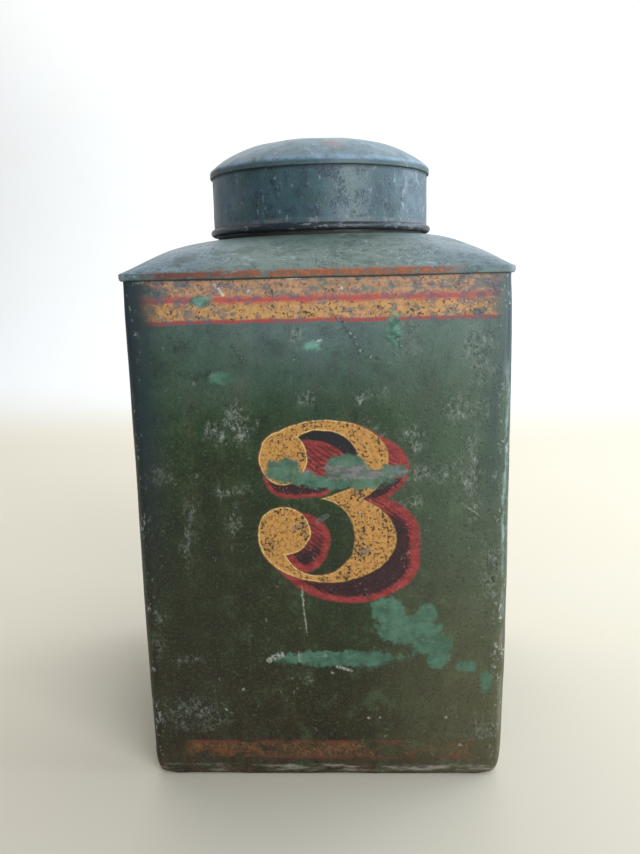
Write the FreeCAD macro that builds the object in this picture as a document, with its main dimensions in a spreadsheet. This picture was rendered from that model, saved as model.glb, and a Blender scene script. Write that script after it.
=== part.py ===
import FreeCAD, Part
import math
import os
import Sketcher

# Grocer's tea canister: a square painted tinplate body with a raised square-to-round shoulder,
# an upright neck collar and a domed lid that lifts straight off.
# Origin: centre of the foot, on the surface that the canister stands on. +Z up, front face at -Y.

V = FreeCAD.Vector
doc = FreeCAD.newDocument("tea_canister")
os.makedirs("parts", exist_ok=True)

# ------------------------------------------------ driving dimensions, in mm
DIMENSIONS = [
    ("gauge", "0.45", "thickness of the tinplate"),
    ("fold_gap", "0.08", "space between the layers of a folded seam"),
    ("joint_gap", "0.05", "space between sheet and solder"),
    ("leg_clearance", "0.35", "space left below the free edge of a hook"),
    # body walls
    ("body_half", "120", "half width over the walls at foot and top"),
    ("corner_spread", "2.0", "how far the corners stand further out to the sides at mid height"),
    ("side_bow", "1.5", "how far the side walls bulge between their corners at mid height"),
    ("face_bow", "1.0", "how far the front and back walls bulge at mid height"),
    ("foot_corner", "5.0", "corner radius in plan at the foot"),
    ("middle_corner", "9.0", "corner radius in plan at mid height"),
    ("top_corner", "3.0", "corner radius in plan at the top"),
    # foot: the wall's lower edge, folded in and up
    ("foot_height", "10", "height of the crease above the foot"),
    ("foot_round", "2.5", "outer rounding of the foot"),
    ("foot_flat", "0.5", "width of the flat that the canister stands on"),
    ("return_round", "1.0", "rounding where the fold turns up inside"),
    ("return_top", "6.0", "height of the folded-in edge"),
    ("plate_top", "8.5", "upper face of the bottom plate"),
    ("plate_flange", "2.8", "lower end of the plate's turned-down edge"),
    ("plate_round", "0.9", "bend at the edge of the bottom plate"),
    ("solder_low", "1.2", "underside of the solder in the foot"),
    ("solder_high", "4.0", "top of the solder in the foot"),
    # lapped joints of the two wall sheets, near the front right and back left corners
    ("lap_place", "106", "distance of each joint from the middle of its side"),
    ("lap_width", "7", "width of the tongue under the joint"),
    ("joggle", "0.8", "width of the step between sheet and tongue"),
    ("kerf", "0.1", "open line between the two sheets"),
    ("run_width", "3.0", "width of a run of solder"),
    ("run_depth", "0.7", "thickness of a run of solder"),
    ("run_margin", "4", "distance of a run's ends from the folds above and below it"),
    ("run_angle", "3", "width of the runs in collar and lid, in degrees"),
    # hooked seam of wall and shoulder
    ("hook_start", "338", "height where the wall becomes straight below the seam"),
    ("hook_foot", "340.6", "lower edge of the shoulder's turned-down rim"),
    ("hook_inner", "343.6", "top of the shoulder's folded-in edge"),
    ("wall_top", "344.5", "top of the wall's outward hook"),
    # shoulder, from a rounded square to a circle
    ("rim_top", "344.5", "height where the rim starts to bend inward"),
    ("slope_start", "345.15", "height of the shoulder's outer edge"),
    ("slope_inset", "0.39", "how far that edge lies inside the rim's outer face"),
    ("rim_bend", "0.8", "bend from the rim into the slope"),
    ("lip_reach", "0.55", "how far the rim's bend runs into the slope"),
    ("lip_rise", "0.2", "how far it rises there"),
    ("lip_back", "0.4", "how far its underside lies inside the slope's edge"),
    ("lip_drop", "0.1", "how far the bend's underside starts below the rim's top"),
    ("slope_drop", "0.405", "how far the slope's inner face lies below its outer face"),
    ("slope_narrow", "0.315", "how far the slope's inner face lies inside its outer face"),
    ("slope_rise", "23.75", "rise of the shoulder to its neck"),
    ("slope_power", "1.63", "fullness of the shoulder's curve"),
    ("neck_circle", "77", "radius that the shoulder narrows to"),
    # solder inside the hooked seam
    ("seal_foot", "342.2", "lower edge of the solder at the wall"),
    ("seal_top", "345.05", "upper edge of the solder at the wall"),
    ("seal_width", "1.6", "width of the solder"),
    ("seal_low", "343.6", "lower edge of its inner side"),
    ("seal_high", "345.75", "upper edge of its inner side"),
    # neck collar
    ("collar_radius", "76.35", "outer radius of the collar"),
    ("collar_top", "419.8", "top of the collar's hem"),
    ("collar_foot", "367.1", "underside of the collar's foot flange"),
    ("collar_flange", "3.2", "width of the foot flange"),
    ("hem_depth", "6", "length of the folded hem"),
    ("fillet_width", "1.8", "width and height of the solder round the collar"),
    ("fillet_hollow", "0.6", "width and height where its hollow face is deepest"),
    ("neck_level", "368.95", "lower edge of that solder"),
    # lid
    ("band_radius", "79.5", "outer radius of the lid's hoop"),
    ("bead_level", "373.8", "height of the wire in the hoop's lower edge"),
    ("bead_place", "79.4", "radius from the axis to the wire's centre"),
    ("bead_radius", "2.7", "outer radius of the rolled edge"),
    ("wire_radius", "2.2", "radius of the wire"),
    ("bead_close", "75", "angle at which the rolled edge stops, in degrees"),
    ("seam_foot", "412.5", "lower edge of the dome's folded rim"),
    ("seam_inner", "415.9", "top of the dome's folded-in edge"),
    ("band_top", "416.75", "top of the hoop's outward hook"),
    ("dome_rim", "416.4", "height where the dome's rim starts to bend inward"),
    ("dome_edge", "417.1", "height of the dome's outer edge"),
    ("dome_inset", "0.4", "how far that edge lies inside the rim's outer face"),
    ("dome_bend", "0.9", "bend from the rim into the dome"),
    ("crown_radius", "351", "radius of the dome's nearly flat crown"),
    ("crown_edge", "40", "distance from the axis to the end of the crown"),
    ("knuckle_radius", "71.5", "radius of the dome's falling edge"),
    ("ring_width", "1.5", "width of the solder ring inside the lid"),
    ("ring_foot", "414.8", "lower edge of that ring"),
    ("ring_top", "417.8", "height of the ring at the hoop"),
    ("ring_crown", "419.0", "height of the ring's inner edge"),
]
dims = doc.addObject("Spreadsheet::Sheet", "dims")
for row, (alias, amount, note) in enumerate(DIMENSIONS, start=1):
    dims.set(f"A{row}", note)
    dims.set(f"B{row}", amount)
    dims.setAlias(f"B{row}", alias)
doc.recompute()


def dim(alias):
    """The number that the sheet holds under an alias."""
    return float(dims.get(alias))


def value(expression):
    """The number that an expression on the sheet comes to."""
    return float(dims.evalExpression(expression))


gauge = dim("gauge")
gap = dim("fold_gap")
half = dim("body_half")
far = 4 * half  # well outside the canister

# ------------------------------------------------ sketch helpers
def plane_of(body, role):
    return [feature for feature in body.Origin.OriginFeatures if feature.Role == role][0]


def new_body(label):
    body = doc.addObject("PartDesign::Body", label + "_body")
    body.Label = label
    return body


def new_sketch(body, name, role, height=None):
    """A sketch on one of the body's own planes, lifted along it by an expression."""
    sketch = body.newObject("Sketcher::SketchObject", f"{body.Label}_{name}")
    sketch.AttachmentSupport = [(plane_of(body, role), "")]
    sketch.MapMode = "FlatFace"
    if height is not None:
        sketch.setExpression("AttachmentOffset.Base.z", height)
    return sketch


def arc_between(start, end, radius):
    """The minor arc from start to end: a positive radius turns anticlockwise, a negative one clockwise."""
    chord = end - start
    side = V(-chord.y, chord.x, 0).normalize()
    reach = math.sqrt(max(radius ** 2 - (chord.Length / 2) ** 2, 0.0))
    centre = (start + end) * 0.5 + side * math.copysign(reach, radius)
    first, last = (start, end) if radius > 0 else (end, start)
    circle = Part.Circle(centre, V(0, 0, 1), abs(radius))
    angles = [math.atan2(point.y - centre.y, point.x - centre.x) for point in (first, last)]
    return Part.ArcOfCircle(circle, *angles)


def bind_point(sketch, edge, position, x, y):
    for kind, expression in (("DistanceX", x), ("DistanceY", y)):
        constraint = Sketcher.Constraint(kind, -1, 1, edge, position, value(expression))
        number = sketch.addConstraint(constraint)
        sketch.setExpression(f"Constraints[{number}]", expression)


def outline(sketch, corners):
    """Draw a closed outline bound to the sheet.

    Each corner is (x, y) or (x, y, radius) as expressions; the radius makes the edge that leaves the
    corner an arc, anticlockwise when it is positive.
    """
    points = [V(value(corner[0]), value(corner[1]), 0) for corner in corners]
    edges = []
    for index, corner in enumerate(corners):
        start, end = points[index], points[(index + 1) % len(points)]
        if len(corner) == 2:
            edge = sketch.addGeometry(Part.LineSegment(start, end), False)
            leaves, arrives = 1, 2
        else:
            radius = value(corner[2])
            edge = sketch.addGeometry(arc_between(start, end, radius), False)
            leaves, arrives = (1, 2) if radius > 0 else (2, 1)
            number = sketch.addConstraint(Sketcher.Constraint("Radius", edge, abs(radius)))
            sketch.setExpression(f"Constraints[{number}]", f"abs({corner[2]})")
        edges.append((edge, leaves, arrives))
        bind_point(sketch, edge, leaves, corner[0], corner[1])
    for index, (edge, leaves, arrives) in enumerate(edges):
        following = edges[(index + 1) % len(edges)]
        sketch.addConstraint(Sketcher.Constraint("Coincident", edge, arrives, following[0], following[1]))


def rounded_square(sketch, half, radius):
    """A square with rounded corners, centred on the axis."""
    inner = f"({half} - {radius})"
    corners = []
    for x, y in ((1, 1), (-1, 1), (-1, -1), (1, -1)):
        first = (f"{x} * {half}", f"{y} * {inner}", radius)
        second = (f"{x} * {inner}", f"{y} * {half}")
        if x * y < 0:
            first, second = second + (radius,), first[:2]
        corners += [first, second]
    outline(sketch, corners)


def revolve(label, corners, angle=None):
    """A body turned about the vertical axis, or a slice of one, centred on the +X direction."""
    body = new_body(label)
    sketch = new_sketch(body, "profile", "XZ_Plane")
    outline(sketch, corners)
    turned = body.newObject("PartDesign::Revolution", label + "_turned")
    turned.Profile = sketch
    turned.ReferenceAxis = (sketch, ["V_Axis"])
    turned.Angle = 360.0
    if angle is not None:
        turned.Midplane = True
        turned.setExpression("Angle", angle)
    return body


# ------------------------------------------------ solid helpers for pieces with compound curves
def feature(label, shape):
    """A document object that holds a shape worked out from the sheet."""
    item = doc.addObject("Part::Feature", label)
    item.Label = label
    item.Shape = shape
    item.Placement = FreeCAD.Placement()
    return item


def solid_of(shape):
    """The one solid that a boolean result holds."""
    clean = shape.removeSplitter()
    if len(clean.Solids) != 1:
        raise RuntimeError(f"expected one solid and got {len(clean.Solids)}")
    return clean.Solids[0]


def square_wire(reach, radius, height):
    """A flat rounded square of straight sides and quarter arcs; reach is half its width."""
    flat = reach - radius
    edges = []
    for quarter in range(4):
        turn = FreeCAD.Rotation(V(0, 0, 1), 90 * quarter)
        corner = V(flat, flat, 0)
        start = V(reach, -flat, height)
        arc_start = V(reach, flat, height)
        arc_middle = corner + V(1, 1, 0) * (radius / math.sqrt(2)) + V(0, 0, height)
        arc_end = V(flat, reach, height)
        points = [turn.multVec(point) for point in (start, arc_start, arc_middle, arc_end)]
        edges.append(Part.LineSegment(points[0], points[1]).toShape())
        edges.append(Part.Arc(points[1], points[2], points[3]).toShape())
    return Part.Wire(edges)


def swept_ring(profile, radius):
    """Carry a flat profile round the rounded square of the walls.

    The profile is a closed wire in the XZ plane whose X is the distance from the axis; the radius is
    the corner radius at the walls' outer face.
    """
    flat = half - radius
    face = Part.Face(profile)
    side = face.translated(V(0, -flat, 0)).extrude(V(0, 2 * flat, 0))
    corner = face.translated(V(0, flat, 0)).revolve(V(flat, flat, 0), V(0, 0, 1), 90)
    pieces = []
    for quarter in range(4):
        for piece in (side, corner):
            turned = piece.copy()
            turned.rotate(V(0, 0, 0), V(0, 0, 1), 90 * quarter)
            pieces.append(turned)
    return solid_of(pieces[0].multiFuse(pieces[1:]))


def profile_wire(corners):
    """A closed wire in the XZ plane from (x, z) or (x, z, radius) corners, arcs as in outline()."""
    edges = []
    for index, corner in enumerate(corners):
        start = V(corner[0], corner[1], 0)
        following = corners[(index + 1) % len(corners)]
        end = V(following[0], following[1], 0)
        curve = Part.LineSegment(start, end) if len(corner) == 2 else arc_between(start, end, corner[2])
        edges.append(curve.toShape())
    wire = Part.Wire(Part.__sortEdges__(edges))
    wire.rotate(V(0, 0, 0), V(1, 0, 0), 90)
    return wire


def bulged_wire(inset, radius, height):
    """A rounded square whose four sides bulge outward as flat arcs, tangent to the corner arcs.

    This is the section at mid height. The inset moves the whole outline inward.
    """
    wide = half + dim("corner_spread")
    bows = (dim("side_bow"), dim("face_bow"))
    spans = (half, wide)
    curves = [(span ** 2 + bow ** 2) / (2 * bow) for span, bow in zip(spans, bows)]
    side_centre = V(wide + bows[0] - curves[0], 0, 0)
    face_centre = V(0, half + bows[1] - curves[1], 0)
    # the corner arc's centre lies at (curve - radius) from the centres of both side arcs
    reach_side = curves[0] - radius
    reach_face = curves[1] - radius
    towards = face_centre - side_centre
    apart = towards.Length
    towards.normalize()
    along = (reach_side ** 2 - reach_face ** 2 + apart ** 2) / (2 * apart)
    across = math.sqrt(reach_side ** 2 - along ** 2)
    corner = side_centre + towards * along + V(-towards.y, towards.x, 0) * across
    if corner.x < 0:
        corner = side_centre + towards * along - V(-towards.y, towards.x, 0) * across
    to_side = (corner - side_centre).normalize()
    to_face = (corner - face_centre).normalize()
    arc = radius - inset
    on_side = corner + to_side * arc
    on_face = corner + to_face * arc
    on_corner = corner + (to_side + to_face).normalize() * arc
    side_middle = V(wide + bows[0] - inset, 0, 0)
    face_middle = V(0, half + bows[1] - inset, 0)

    def bend(*points):
        """An arc through three points, each given with the quarter (sign of x, sign of y) it lies in."""
        places = [V(point.x * x, point.y * y, height) for point, x, y in points]
        return Part.Arc(*places).toShape()

    edges = []
    for x, y in ((1, 1), (-1, -1)):
        edges += [
            bend((on_side, x, -y), (side_middle, x, y), (on_side, x, y)),
            bend((on_side, x, y), (on_corner, x, y), (on_face, x, y)),
            bend((on_face, x, y), (face_middle, x, y), (on_face, -x, y)),
            bend((on_face, -x, y), (on_corner, -x, y), (on_side, -x, y)),
        ]
    return Part.Wire(edges)


def bulged_solid(inset):
    """The space inside the walls, between crease and seam, moved inward by the inset."""
    ends = [("foot_corner", "foot_height"), ("top_corner", "hook_start")]
    low, high = [square_wire(half - inset, dim(corner) - inset, dim(level)) for corner, level in ends]
    middle = (dim("foot_height") + dim("hook_start")) / 2
    return Part.makeLoft([low, bulged_wire(inset, dim("middle_corner"), middle), high], True, False)


def bulged_shell(outer_inset, inner_inset):
    return bulged_solid(outer_inset).cut(bulged_solid(inner_inset))


def block(x_low, x_high, y_low, y_high, z_low=-far, z_high=far):
    return Part.makeBox(x_high - x_low, y_high - y_low, z_high - z_low, V(x_low, y_low, z_low))


# ------------------------------------------------ body walls
def foot_profile():
    """Section of the wall's lower edge: down, in over the flat and up inside."""
    outer, inner = half, half - gauge
    round_out, round_in = dim("foot_round"), dim("return_round")
    flat_out = outer - round_out
    flat_in = flat_out - dim("foot_flat")
    back = flat_in - round_in
    top = dim("foot_height")
    return profile_wire([
        (outer, top),
        (outer, round_out, -round_out),
        (flat_out, 0),
        (flat_in, 0, -round_in),
        (back, round_in),
        (back, dim("return_top")),
        (back + gauge, dim("return_top")),
        (back + gauge, round_in, round_in - gauge),
        (flat_in, gauge),
        (flat_out, gauge, round_out - gauge),
        (inner, round_out),
        (inner, top),
    ])


def wall_hook_profile():
    """Section of the wall's upper edge, hooked outward over the shoulder's folded-in edge."""
    inner, outer = half - gauge, half
    leg_in, leg_out = half + gauge + 2 * gap, half + 2 * gauge + 2 * gap
    bend_out = (leg_out - inner) / 2
    bend_in = (leg_in - outer) / 2
    level = dim("wall_top") - bend_out
    leg_foot = dim("hook_foot") + gauge + gap + dim("leg_clearance")
    return profile_wire([
        (inner, dim("hook_start")),
        (outer, dim("hook_start")),
        (outer, level, -bend_in),
        ((outer + leg_in) / 2, level + bend_in, -bend_in),
        (leg_in, level),
        (leg_in, leg_foot),
        (leg_out, leg_foot),
        (leg_out, level, bend_out),
        ((inner + leg_out) / 2, level + bend_out, bend_out),
        (inner, level),
    ])


main_shell = bulged_shell(0, gauge)
tongue_shell = bulged_shell(gauge + gap, 2 * gauge + gap)
step_shell = bulged_shell(0, 2 * gauge + gap)
wall_ring = solid_of(main_shell.multiFuse([
    swept_ring(foot_profile(), dim("foot_corner")),
    swept_ring(wall_hook_profile(), dim("top_corner")),
]))

lap = dim("lap_place")
kerf = dim("kerf")
first_sheet_space = block(-far, far, -far, -lap).fuse(block(-far, 0, -far, lap))
second_sheet_space = block(0, far, kerf - lap, far).fuse(block(-far, far, lap + kerf, far))
feature("wall_front_left", solid_of(wall_ring.common(first_sheet_space)))


def tongue(x_low, x_high, joint):
    """The strip of the second sheet that steps inward and runs on under the first sheet."""
    strip = tongue_shell.common(block(x_low, x_high, joint - dim("lap_width"), joint + dim("joggle")))
    step = step_shell.common(block(x_low, x_high, joint + kerf, joint + dim("joggle")))
    return strip.fuse(step)


feature("wall_back_right", solid_of(wall_ring.common(second_sheet_space).multiFuse([
    tongue(0, far, -lap),
    tongue(-far, 0, lap),
])))


# ------------------------------------------------ solder in the walls' two lapped joints
def seam_solder(label, x_low, x_high, joint):
    """A run of solder down the inside, along the free edge of the tongue."""
    inset = gauge + gap
    run = bulged_shell(inset, inset + dim("run_depth"))
    edge = joint - dim("lap_width") - dim("joint_gap")
    ends = (dim("foot_height") + dim("run_margin"), dim("hook_start") - dim("run_margin"))
    feature(label, solid_of(run.common(block(x_low, x_high, edge - dim("run_width"), edge, *ends))))


seam_solder("right_seam_solder", 0, far, -lap)
seam_solder("left_seam_solder", -far, 0, lap)

# ------------------------------------------------ bottom plate, a shallow tray upside down in the foot
plate = new_body("bottom_plate")
plate_half = "(dims.body_half - dims.gauge - dims.joint_gap)"
plate_corner = "(dims.foot_corner - dims.gauge - dims.joint_gap)"
plate_sketch = new_sketch(plate, "outline", "XY_Plane", "dims.plate_flange")
rounded_square(plate_sketch, plate_half, plate_corner)
plate_pad = plate.newObject("PartDesign::Pad", "plate_pad")
plate_pad.Profile = plate_sketch
plate_pad.setExpression("Length", "dims.plate_top - dims.plate_flange")
doc.recompute()
top_edges = []
for number, edge in enumerate(plate_pad.Shape.Edges, start=1):
    box = edge.BoundBox
    if box.ZMin > dim("plate_top") - 0.01:
        top_edges.append(f"Edge{number}")
plate_bend = plate.newObject("PartDesign::Fillet", "plate_bend")
plate_bend.Base = (plate_pad, top_edges)
plate_bend.setExpression("Radius", "dims.plate_round")
plate_hollow_sketch = new_sketch(plate, "hollow_outline", "XY_Plane", "dims.plate_flange")
rounded_square(plate_hollow_sketch, f"({plate_half} - dims.gauge)", f"({plate_corner} - dims.gauge)")
plate_hollow = plate.newObject("PartDesign::Pocket", "plate_hollow")
plate_hollow.Profile = plate_hollow_sketch
plate_hollow.Reversed = True
plate_hollow.setExpression("Length", "dims.plate_top - dims.plate_flange - dims.gauge")
doc.recompute()
if plate_hollow.Shape.Volume > 0.3 * plate_pad.Shape.Volume:
    raise RuntimeError("the hollow under the bottom plate was not cut")

# ------------------------------------------------ solder that fills the folded foot
foot_solder = new_body("foot_solder")
solder_sketch = new_sketch(foot_solder, "outline", "XY_Plane", "dims.solder_low")
solder_outer = "(dims.body_half - 2 * dims.gauge - 2 * dims.joint_gap)"
solder_inset = "(2 * dims.gauge + 2 * dims.joint_gap)"
fold_back = "(dims.foot_round + dims.foot_flat + dims.return_round - dims.gauge - dims.joint_gap)"
rounded_square(solder_sketch, solder_outer, f"(dims.foot_corner - {solder_inset})")
rounded_square(solder_sketch, f"(dims.body_half - {fold_back})", f"(dims.foot_corner - {fold_back})")
solder_pad = foot_solder.newObject("PartDesign::Pad", "solder_pad")
solder_pad.Profile = solder_sketch
solder_pad.setExpression("Length", "dims.solder_high - dims.solder_low")

# ------------------------------------------------ shoulder
rim_out = half + 3 * (gauge + gap)
rim_in = rim_out - gauge
slope_half = rim_out - dim("slope_inset")
slope_corner = dim("top_corner") + slope_half - half
SHOULDER_SHARES = (0, 0.12, 0.26, 0.42, 0.6, 0.8, 0.98)


def shoulder_solid(drop, inset):
    """The space under the shoulder: rounded squares that turn into a circle as they rise.

    The plan narrows evenly with t, and the height follows a power of t, so that the shoulder leaves
    the rim steeply and arrives level at the neck. The last section stops just short of the circle.
    """
    sections = []
    for share in SHOULDER_SHARES:
        plan_half = slope_half + (dim("neck_circle") - slope_half) * share
        plan_corner = slope_corner + (dim("neck_circle") - slope_corner) * share
        height = dim("slope_start") + dim("slope_rise") * (1 - (1 - share) ** dim("slope_power"))
        sections.append(square_wire(plan_half - inset, plan_corner - inset, height - drop))
    return Part.makeLoft(sections, True, False)


def shoulder_hook_profile():
    """Section of the shoulder's rim: down outside the wall's hook and up again inside it."""
    leg_in, leg_out = half + gap, half + gap + gauge
    bend_out = (rim_out - leg_in) / 2
    bend_in = (rim_in - leg_out) / 2
    middle = (rim_out + leg_in) / 2
    low = dim("hook_foot") + bend_out
    return profile_wire([
        (rim_out, low),
        (rim_out, dim("rim_top"), dim("rim_bend")),
        (slope_half, dim("slope_start")),
        (slope_half - dim("lip_reach"), dim("slope_start") + dim("lip_rise")),
        (slope_half - dim("lip_back"), dim("slope_start") - dim("lip_rise")),
        (rim_in, dim("rim_top") - dim("lip_drop")),
        (rim_in, low, -bend_in),
        (middle, low - bend_in, -bend_in),
        (leg_out, low),
        (leg_out, dim("hook_inner")),
        (leg_in, dim("hook_inner")),
        (leg_in, low, bend_out),
        (middle, low - bend_out, bend_out),
    ])


shoulder_shell = shoulder_solid(0, 0).cut(shoulder_solid(dim("slope_drop"), dim("slope_narrow")))
neck_hole = Part.makeCylinder(dim("collar_radius") + dim("joint_gap"), far, V(0, 0, dim("slope_start")))
shoulder_rim = swept_ring(shoulder_hook_profile(), dim("top_corner"))
feature("shoulder", solid_of(shoulder_shell.cut(neck_hole).fuse(shoulder_rim)))

# ------------------------------------------------ solder inside the hooked seam
wall_face = half - gauge - dim("joint_gap")
shoulder_solder_profile = profile_wire([
    (wall_face, dim("seal_foot")),
    (wall_face, dim("seal_top")),
    (wall_face - dim("seal_width"), dim("seal_high")),
    (wall_face - dim("seal_width"), dim("seal_low")),
])
feature("shoulder_solder", swept_ring(shoulder_solder_profile, dim("top_corner")))

# ------------------------------------------------ neck collar and its solder
collar_in = "(dims.collar_radius - dims.gauge)"
hem_in = "(dims.collar_radius - 2 * dims.gauge - dims.fold_gap)"
hem_bend = "((2 * dims.gauge + dims.fold_gap) / 2)"
collar = revolve("neck_collar", [
    (collar_in, "dims.collar_foot"),
    ("dims.collar_radius + dims.collar_flange", "dims.collar_foot"),
    ("dims.collar_radius + dims.collar_flange", "dims.collar_foot + dims.gauge"),
    ("dims.collar_radius", "dims.collar_foot + dims.gauge"),
    ("dims.collar_radius", f"dims.collar_top - {hem_bend}", hem_bend),
    (f"dims.collar_radius - {hem_bend}", "dims.collar_top", hem_bend),
    (hem_in, f"dims.collar_top - {hem_bend}"),
    (hem_in, "dims.collar_top - dims.hem_depth"),
    (f"{hem_in} + dims.gauge", "dims.collar_top - dims.hem_depth"),
    (f"{hem_in} + dims.gauge", "dims.collar_top - dims.gauge"),
    (collar_in, "dims.collar_top - dims.gauge"),
])
fillet_foot = "(dims.collar_radius + dims.joint_gap)"
revolve("collar_solder", [
    (fillet_foot, "dims.neck_level"),
    (f"{fillet_foot} + dims.fillet_width", "dims.neck_level"),
    (f"{fillet_foot} + dims.fillet_hollow", "dims.neck_level + dims.fillet_hollow"),
    (fillet_foot, "dims.neck_level + dims.fillet_width"),
])
revolve("collar_lap_solder", [
    (f"{collar_in} - dims.joint_gap - dims.run_depth", "dims.collar_foot + dims.run_margin"),
    (f"{collar_in} - dims.joint_gap", "dims.collar_foot + dims.run_margin"),
    (f"{collar_in} - dims.joint_gap", "dims.collar_top - dims.hem_depth - dims.run_margin"),
    (
        f"{collar_in} - dims.joint_gap - dims.run_depth",
        "dims.collar_top - dims.hem_depth - dims.run_margin",
    ),
], angle="dims.run_angle")

# ------------------------------------------------ lid hoop with its rolled edge, and the wire in it
band_in = "(dims.band_radius - dims.gauge)"
roll_in = "(dims.bead_radius - dims.gauge)"
hoop_leg_in = "(dims.band_radius + dims.gauge + 2 * dims.fold_gap)"
hoop_leg_out = "(dims.band_radius + 2 * dims.gauge + 2 * dims.fold_gap)"
hook_out = f"(({hoop_leg_out} - {band_in}) / 2)"
hook_in = f"(({hoop_leg_in} - dims.band_radius) / 2)"
hook_level = f"(dims.band_top - {hook_out})"
hook_middle = f"(({hoop_leg_out} + {band_in}) / 2)"
rim_foot = "(dims.seam_foot + dims.gauge + dims.fold_gap + dims.leg_clearance)"


def on_roll(radius, angle):
    """A point on the rolled edge: a distance from the wire's centre, at an angle in degrees."""
    return (
        f"dims.bead_place + {radius} * cos({angle})",
        f"dims.bead_level + {radius} * sin({angle})",
    )


def height_on_roll(radius, place):
    """Height where a vertical line at a place meets the upper half of the roll."""
    return f"dims.bead_level + sqrt({radius}^2 - ({place} - dims.bead_place)^2)"


close = "dims.bead_close"
revolve("lid_band", [
    (band_in, hook_level),
    (band_in, height_on_roll("dims.bead_radius", band_in), "dims.bead_radius"),
    (*on_roll("dims.bead_radius", 180), "dims.bead_radius"),
    (*on_roll("dims.bead_radius", 270), "dims.bead_radius"),
    (*on_roll("dims.bead_radius", 0), "dims.bead_radius"),
    on_roll("dims.bead_radius", close),
    (*on_roll(roll_in, close), f"-{roll_in}"),
    (*on_roll(roll_in, 0), f"-{roll_in}"),
    (*on_roll(roll_in, 270), f"-{roll_in}"),
    (*on_roll(roll_in, 180), f"-{roll_in}"),
    ("dims.band_radius", height_on_roll(roll_in, "dims.band_radius")),
    ("dims.band_radius", hook_level, f"-{hook_in}"),
    (hook_middle, f"{hook_level} + {hook_in}", f"-{hook_in}"),
    (hoop_leg_in, hook_level),
    (hoop_leg_in, rim_foot),
    (hoop_leg_out, rim_foot),
    (hoop_leg_out, hook_level, hook_out),
    (hook_middle, "dims.band_top", hook_out),
])
lid_wire = doc.addObject("Part::Torus", "lid_wire")
lid_wire.Label = "lid_wire"
lid_wire.setExpression("Radius1", "dims.bead_place")
lid_wire.setExpression("Radius2", "dims.wire_radius")
lid_wire.setExpression("Placement.Base.z", "dims.bead_level")

# ------------------------------------------------ lid dome: crown arc, falling arc, rim round the hoop
dome_out = "(dims.band_radius + 3 * (dims.gauge + dims.fold_gap))"
dome_in = f"({dome_out} - dims.gauge)"
dome_end = f"({dome_out} - dims.dome_inset)"
crown_sine = "(dims.crown_edge / dims.crown_radius)"
crown_cosine = f"sqrt(1 - {crown_sine}^2)"
end_sine = f"({crown_sine} + ({dome_end} - dims.crown_edge) / dims.knuckle_radius)"
end_cosine = f"sqrt(1 - {end_sine}^2)"
crown_level = f"(dims.dome_edge + dims.knuckle_radius * ({crown_cosine} - {end_cosine}))"
dome_top = f"({crown_level} + dims.crown_radius * (1 - {crown_cosine}))"
dome_leg_in = "(dims.band_radius + dims.fold_gap)"
dome_leg_out = f"({dome_leg_in} + dims.gauge)"
fold_out = f"(({dome_out} - {dome_leg_in}) / 2)"
fold_in = f"(({dome_in} - {dome_leg_out}) / 2)"
fold_middle = f"(({dome_out} + {dome_leg_in}) / 2)"
fold_level = f"(dims.seam_foot + {fold_out})"
revolve("lid_dome", [
    ("0 * dims.gauge", dome_top),
    ("0 * dims.gauge", f"{dome_top} - dims.gauge", "dims.gauge - dims.crown_radius"),
    (
        f"dims.crown_edge - dims.gauge * {crown_sine}",
        f"{crown_level} - dims.gauge * {crown_cosine}",
        "dims.gauge - dims.knuckle_radius",
    ),
    (f"{dome_end} - dims.gauge * {end_sine}", f"dims.dome_edge - dims.gauge * {end_cosine}"),
    (dome_in, "dims.dome_rim"),
    (dome_in, fold_level, f"-{fold_in}"),
    (fold_middle, f"{fold_level} - {fold_in}", f"-{fold_in}"),
    (dome_leg_out, fold_level),
    (dome_leg_out, "dims.seam_inner"),
    (dome_leg_in, "dims.seam_inner"),
    (dome_leg_in, fold_level, fold_out),
    (fold_middle, "dims.seam_foot", fold_out),
    (dome_out, fold_level),
    (dome_out, "dims.dome_rim", "dims.dome_bend"),
    (dome_end, "dims.dome_edge", "dims.knuckle_radius"),
    ("dims.crown_edge", crown_level, "dims.crown_radius"),
])

# ------------------------------------------------ solder inside the lid
ring_face = f"({band_in} - dims.joint_gap)"
revolve("dome_solder", [
    (ring_face, "dims.ring_foot"),
    (ring_face, "dims.ring_top"),
    (f"{ring_face} - dims.ring_width", "dims.ring_crown"),
])
revolve("band_lap_solder", [
    (f"{ring_face} - dims.run_depth", "dims.bead_level + dims.run_margin"),
    (ring_face, "dims.bead_level + dims.run_margin"),
    (ring_face, "dims.dome_rim - dims.run_margin"),
    (f"{ring_face} - dims.run_depth", "dims.dome_rim - dims.run_margin"),
], angle="dims.run_angle")

# ------------------------------------------------ check every object, then write one file per piece
doc.recompute()
for item in doc.Objects:
    if "Invalid" in item.State or "Error" in item.State:
        raise RuntimeError(f"{item.Label} did not recompute: {item.State}")

NODES = [
    "wall_front_left", "wall_back_right", "bottom_plate", "shoulder", "neck_collar",
    "right_seam_solder", "left_seam_solder", "foot_solder", "shoulder_solder", "collar_solder",
    "collar_lap_solder", "lid_band", "lid_wire", "lid_dome", "dome_solder", "band_lap_solder",
]
for node in NODES:
    item = doc.getObjectsByLabel(node)[0]
    if item.Shape.isNull() or not item.Shape.isValid() or len(item.Shape.Solids) != 1:
        raise RuntimeError(f"{node} is not one valid solid")
    item.Shape.exportStep(f"parts/{node}.step")
    box = item.Shape.BoundBox
    print(f"{node}: {item.Shape.Volume / 1000:.2f} cm3, z {box.ZMin:.2f} to {box.ZMax:.2f}")
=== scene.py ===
import math

import bpy
import numpy as np
from mathutils import Matrix, Vector


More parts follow.
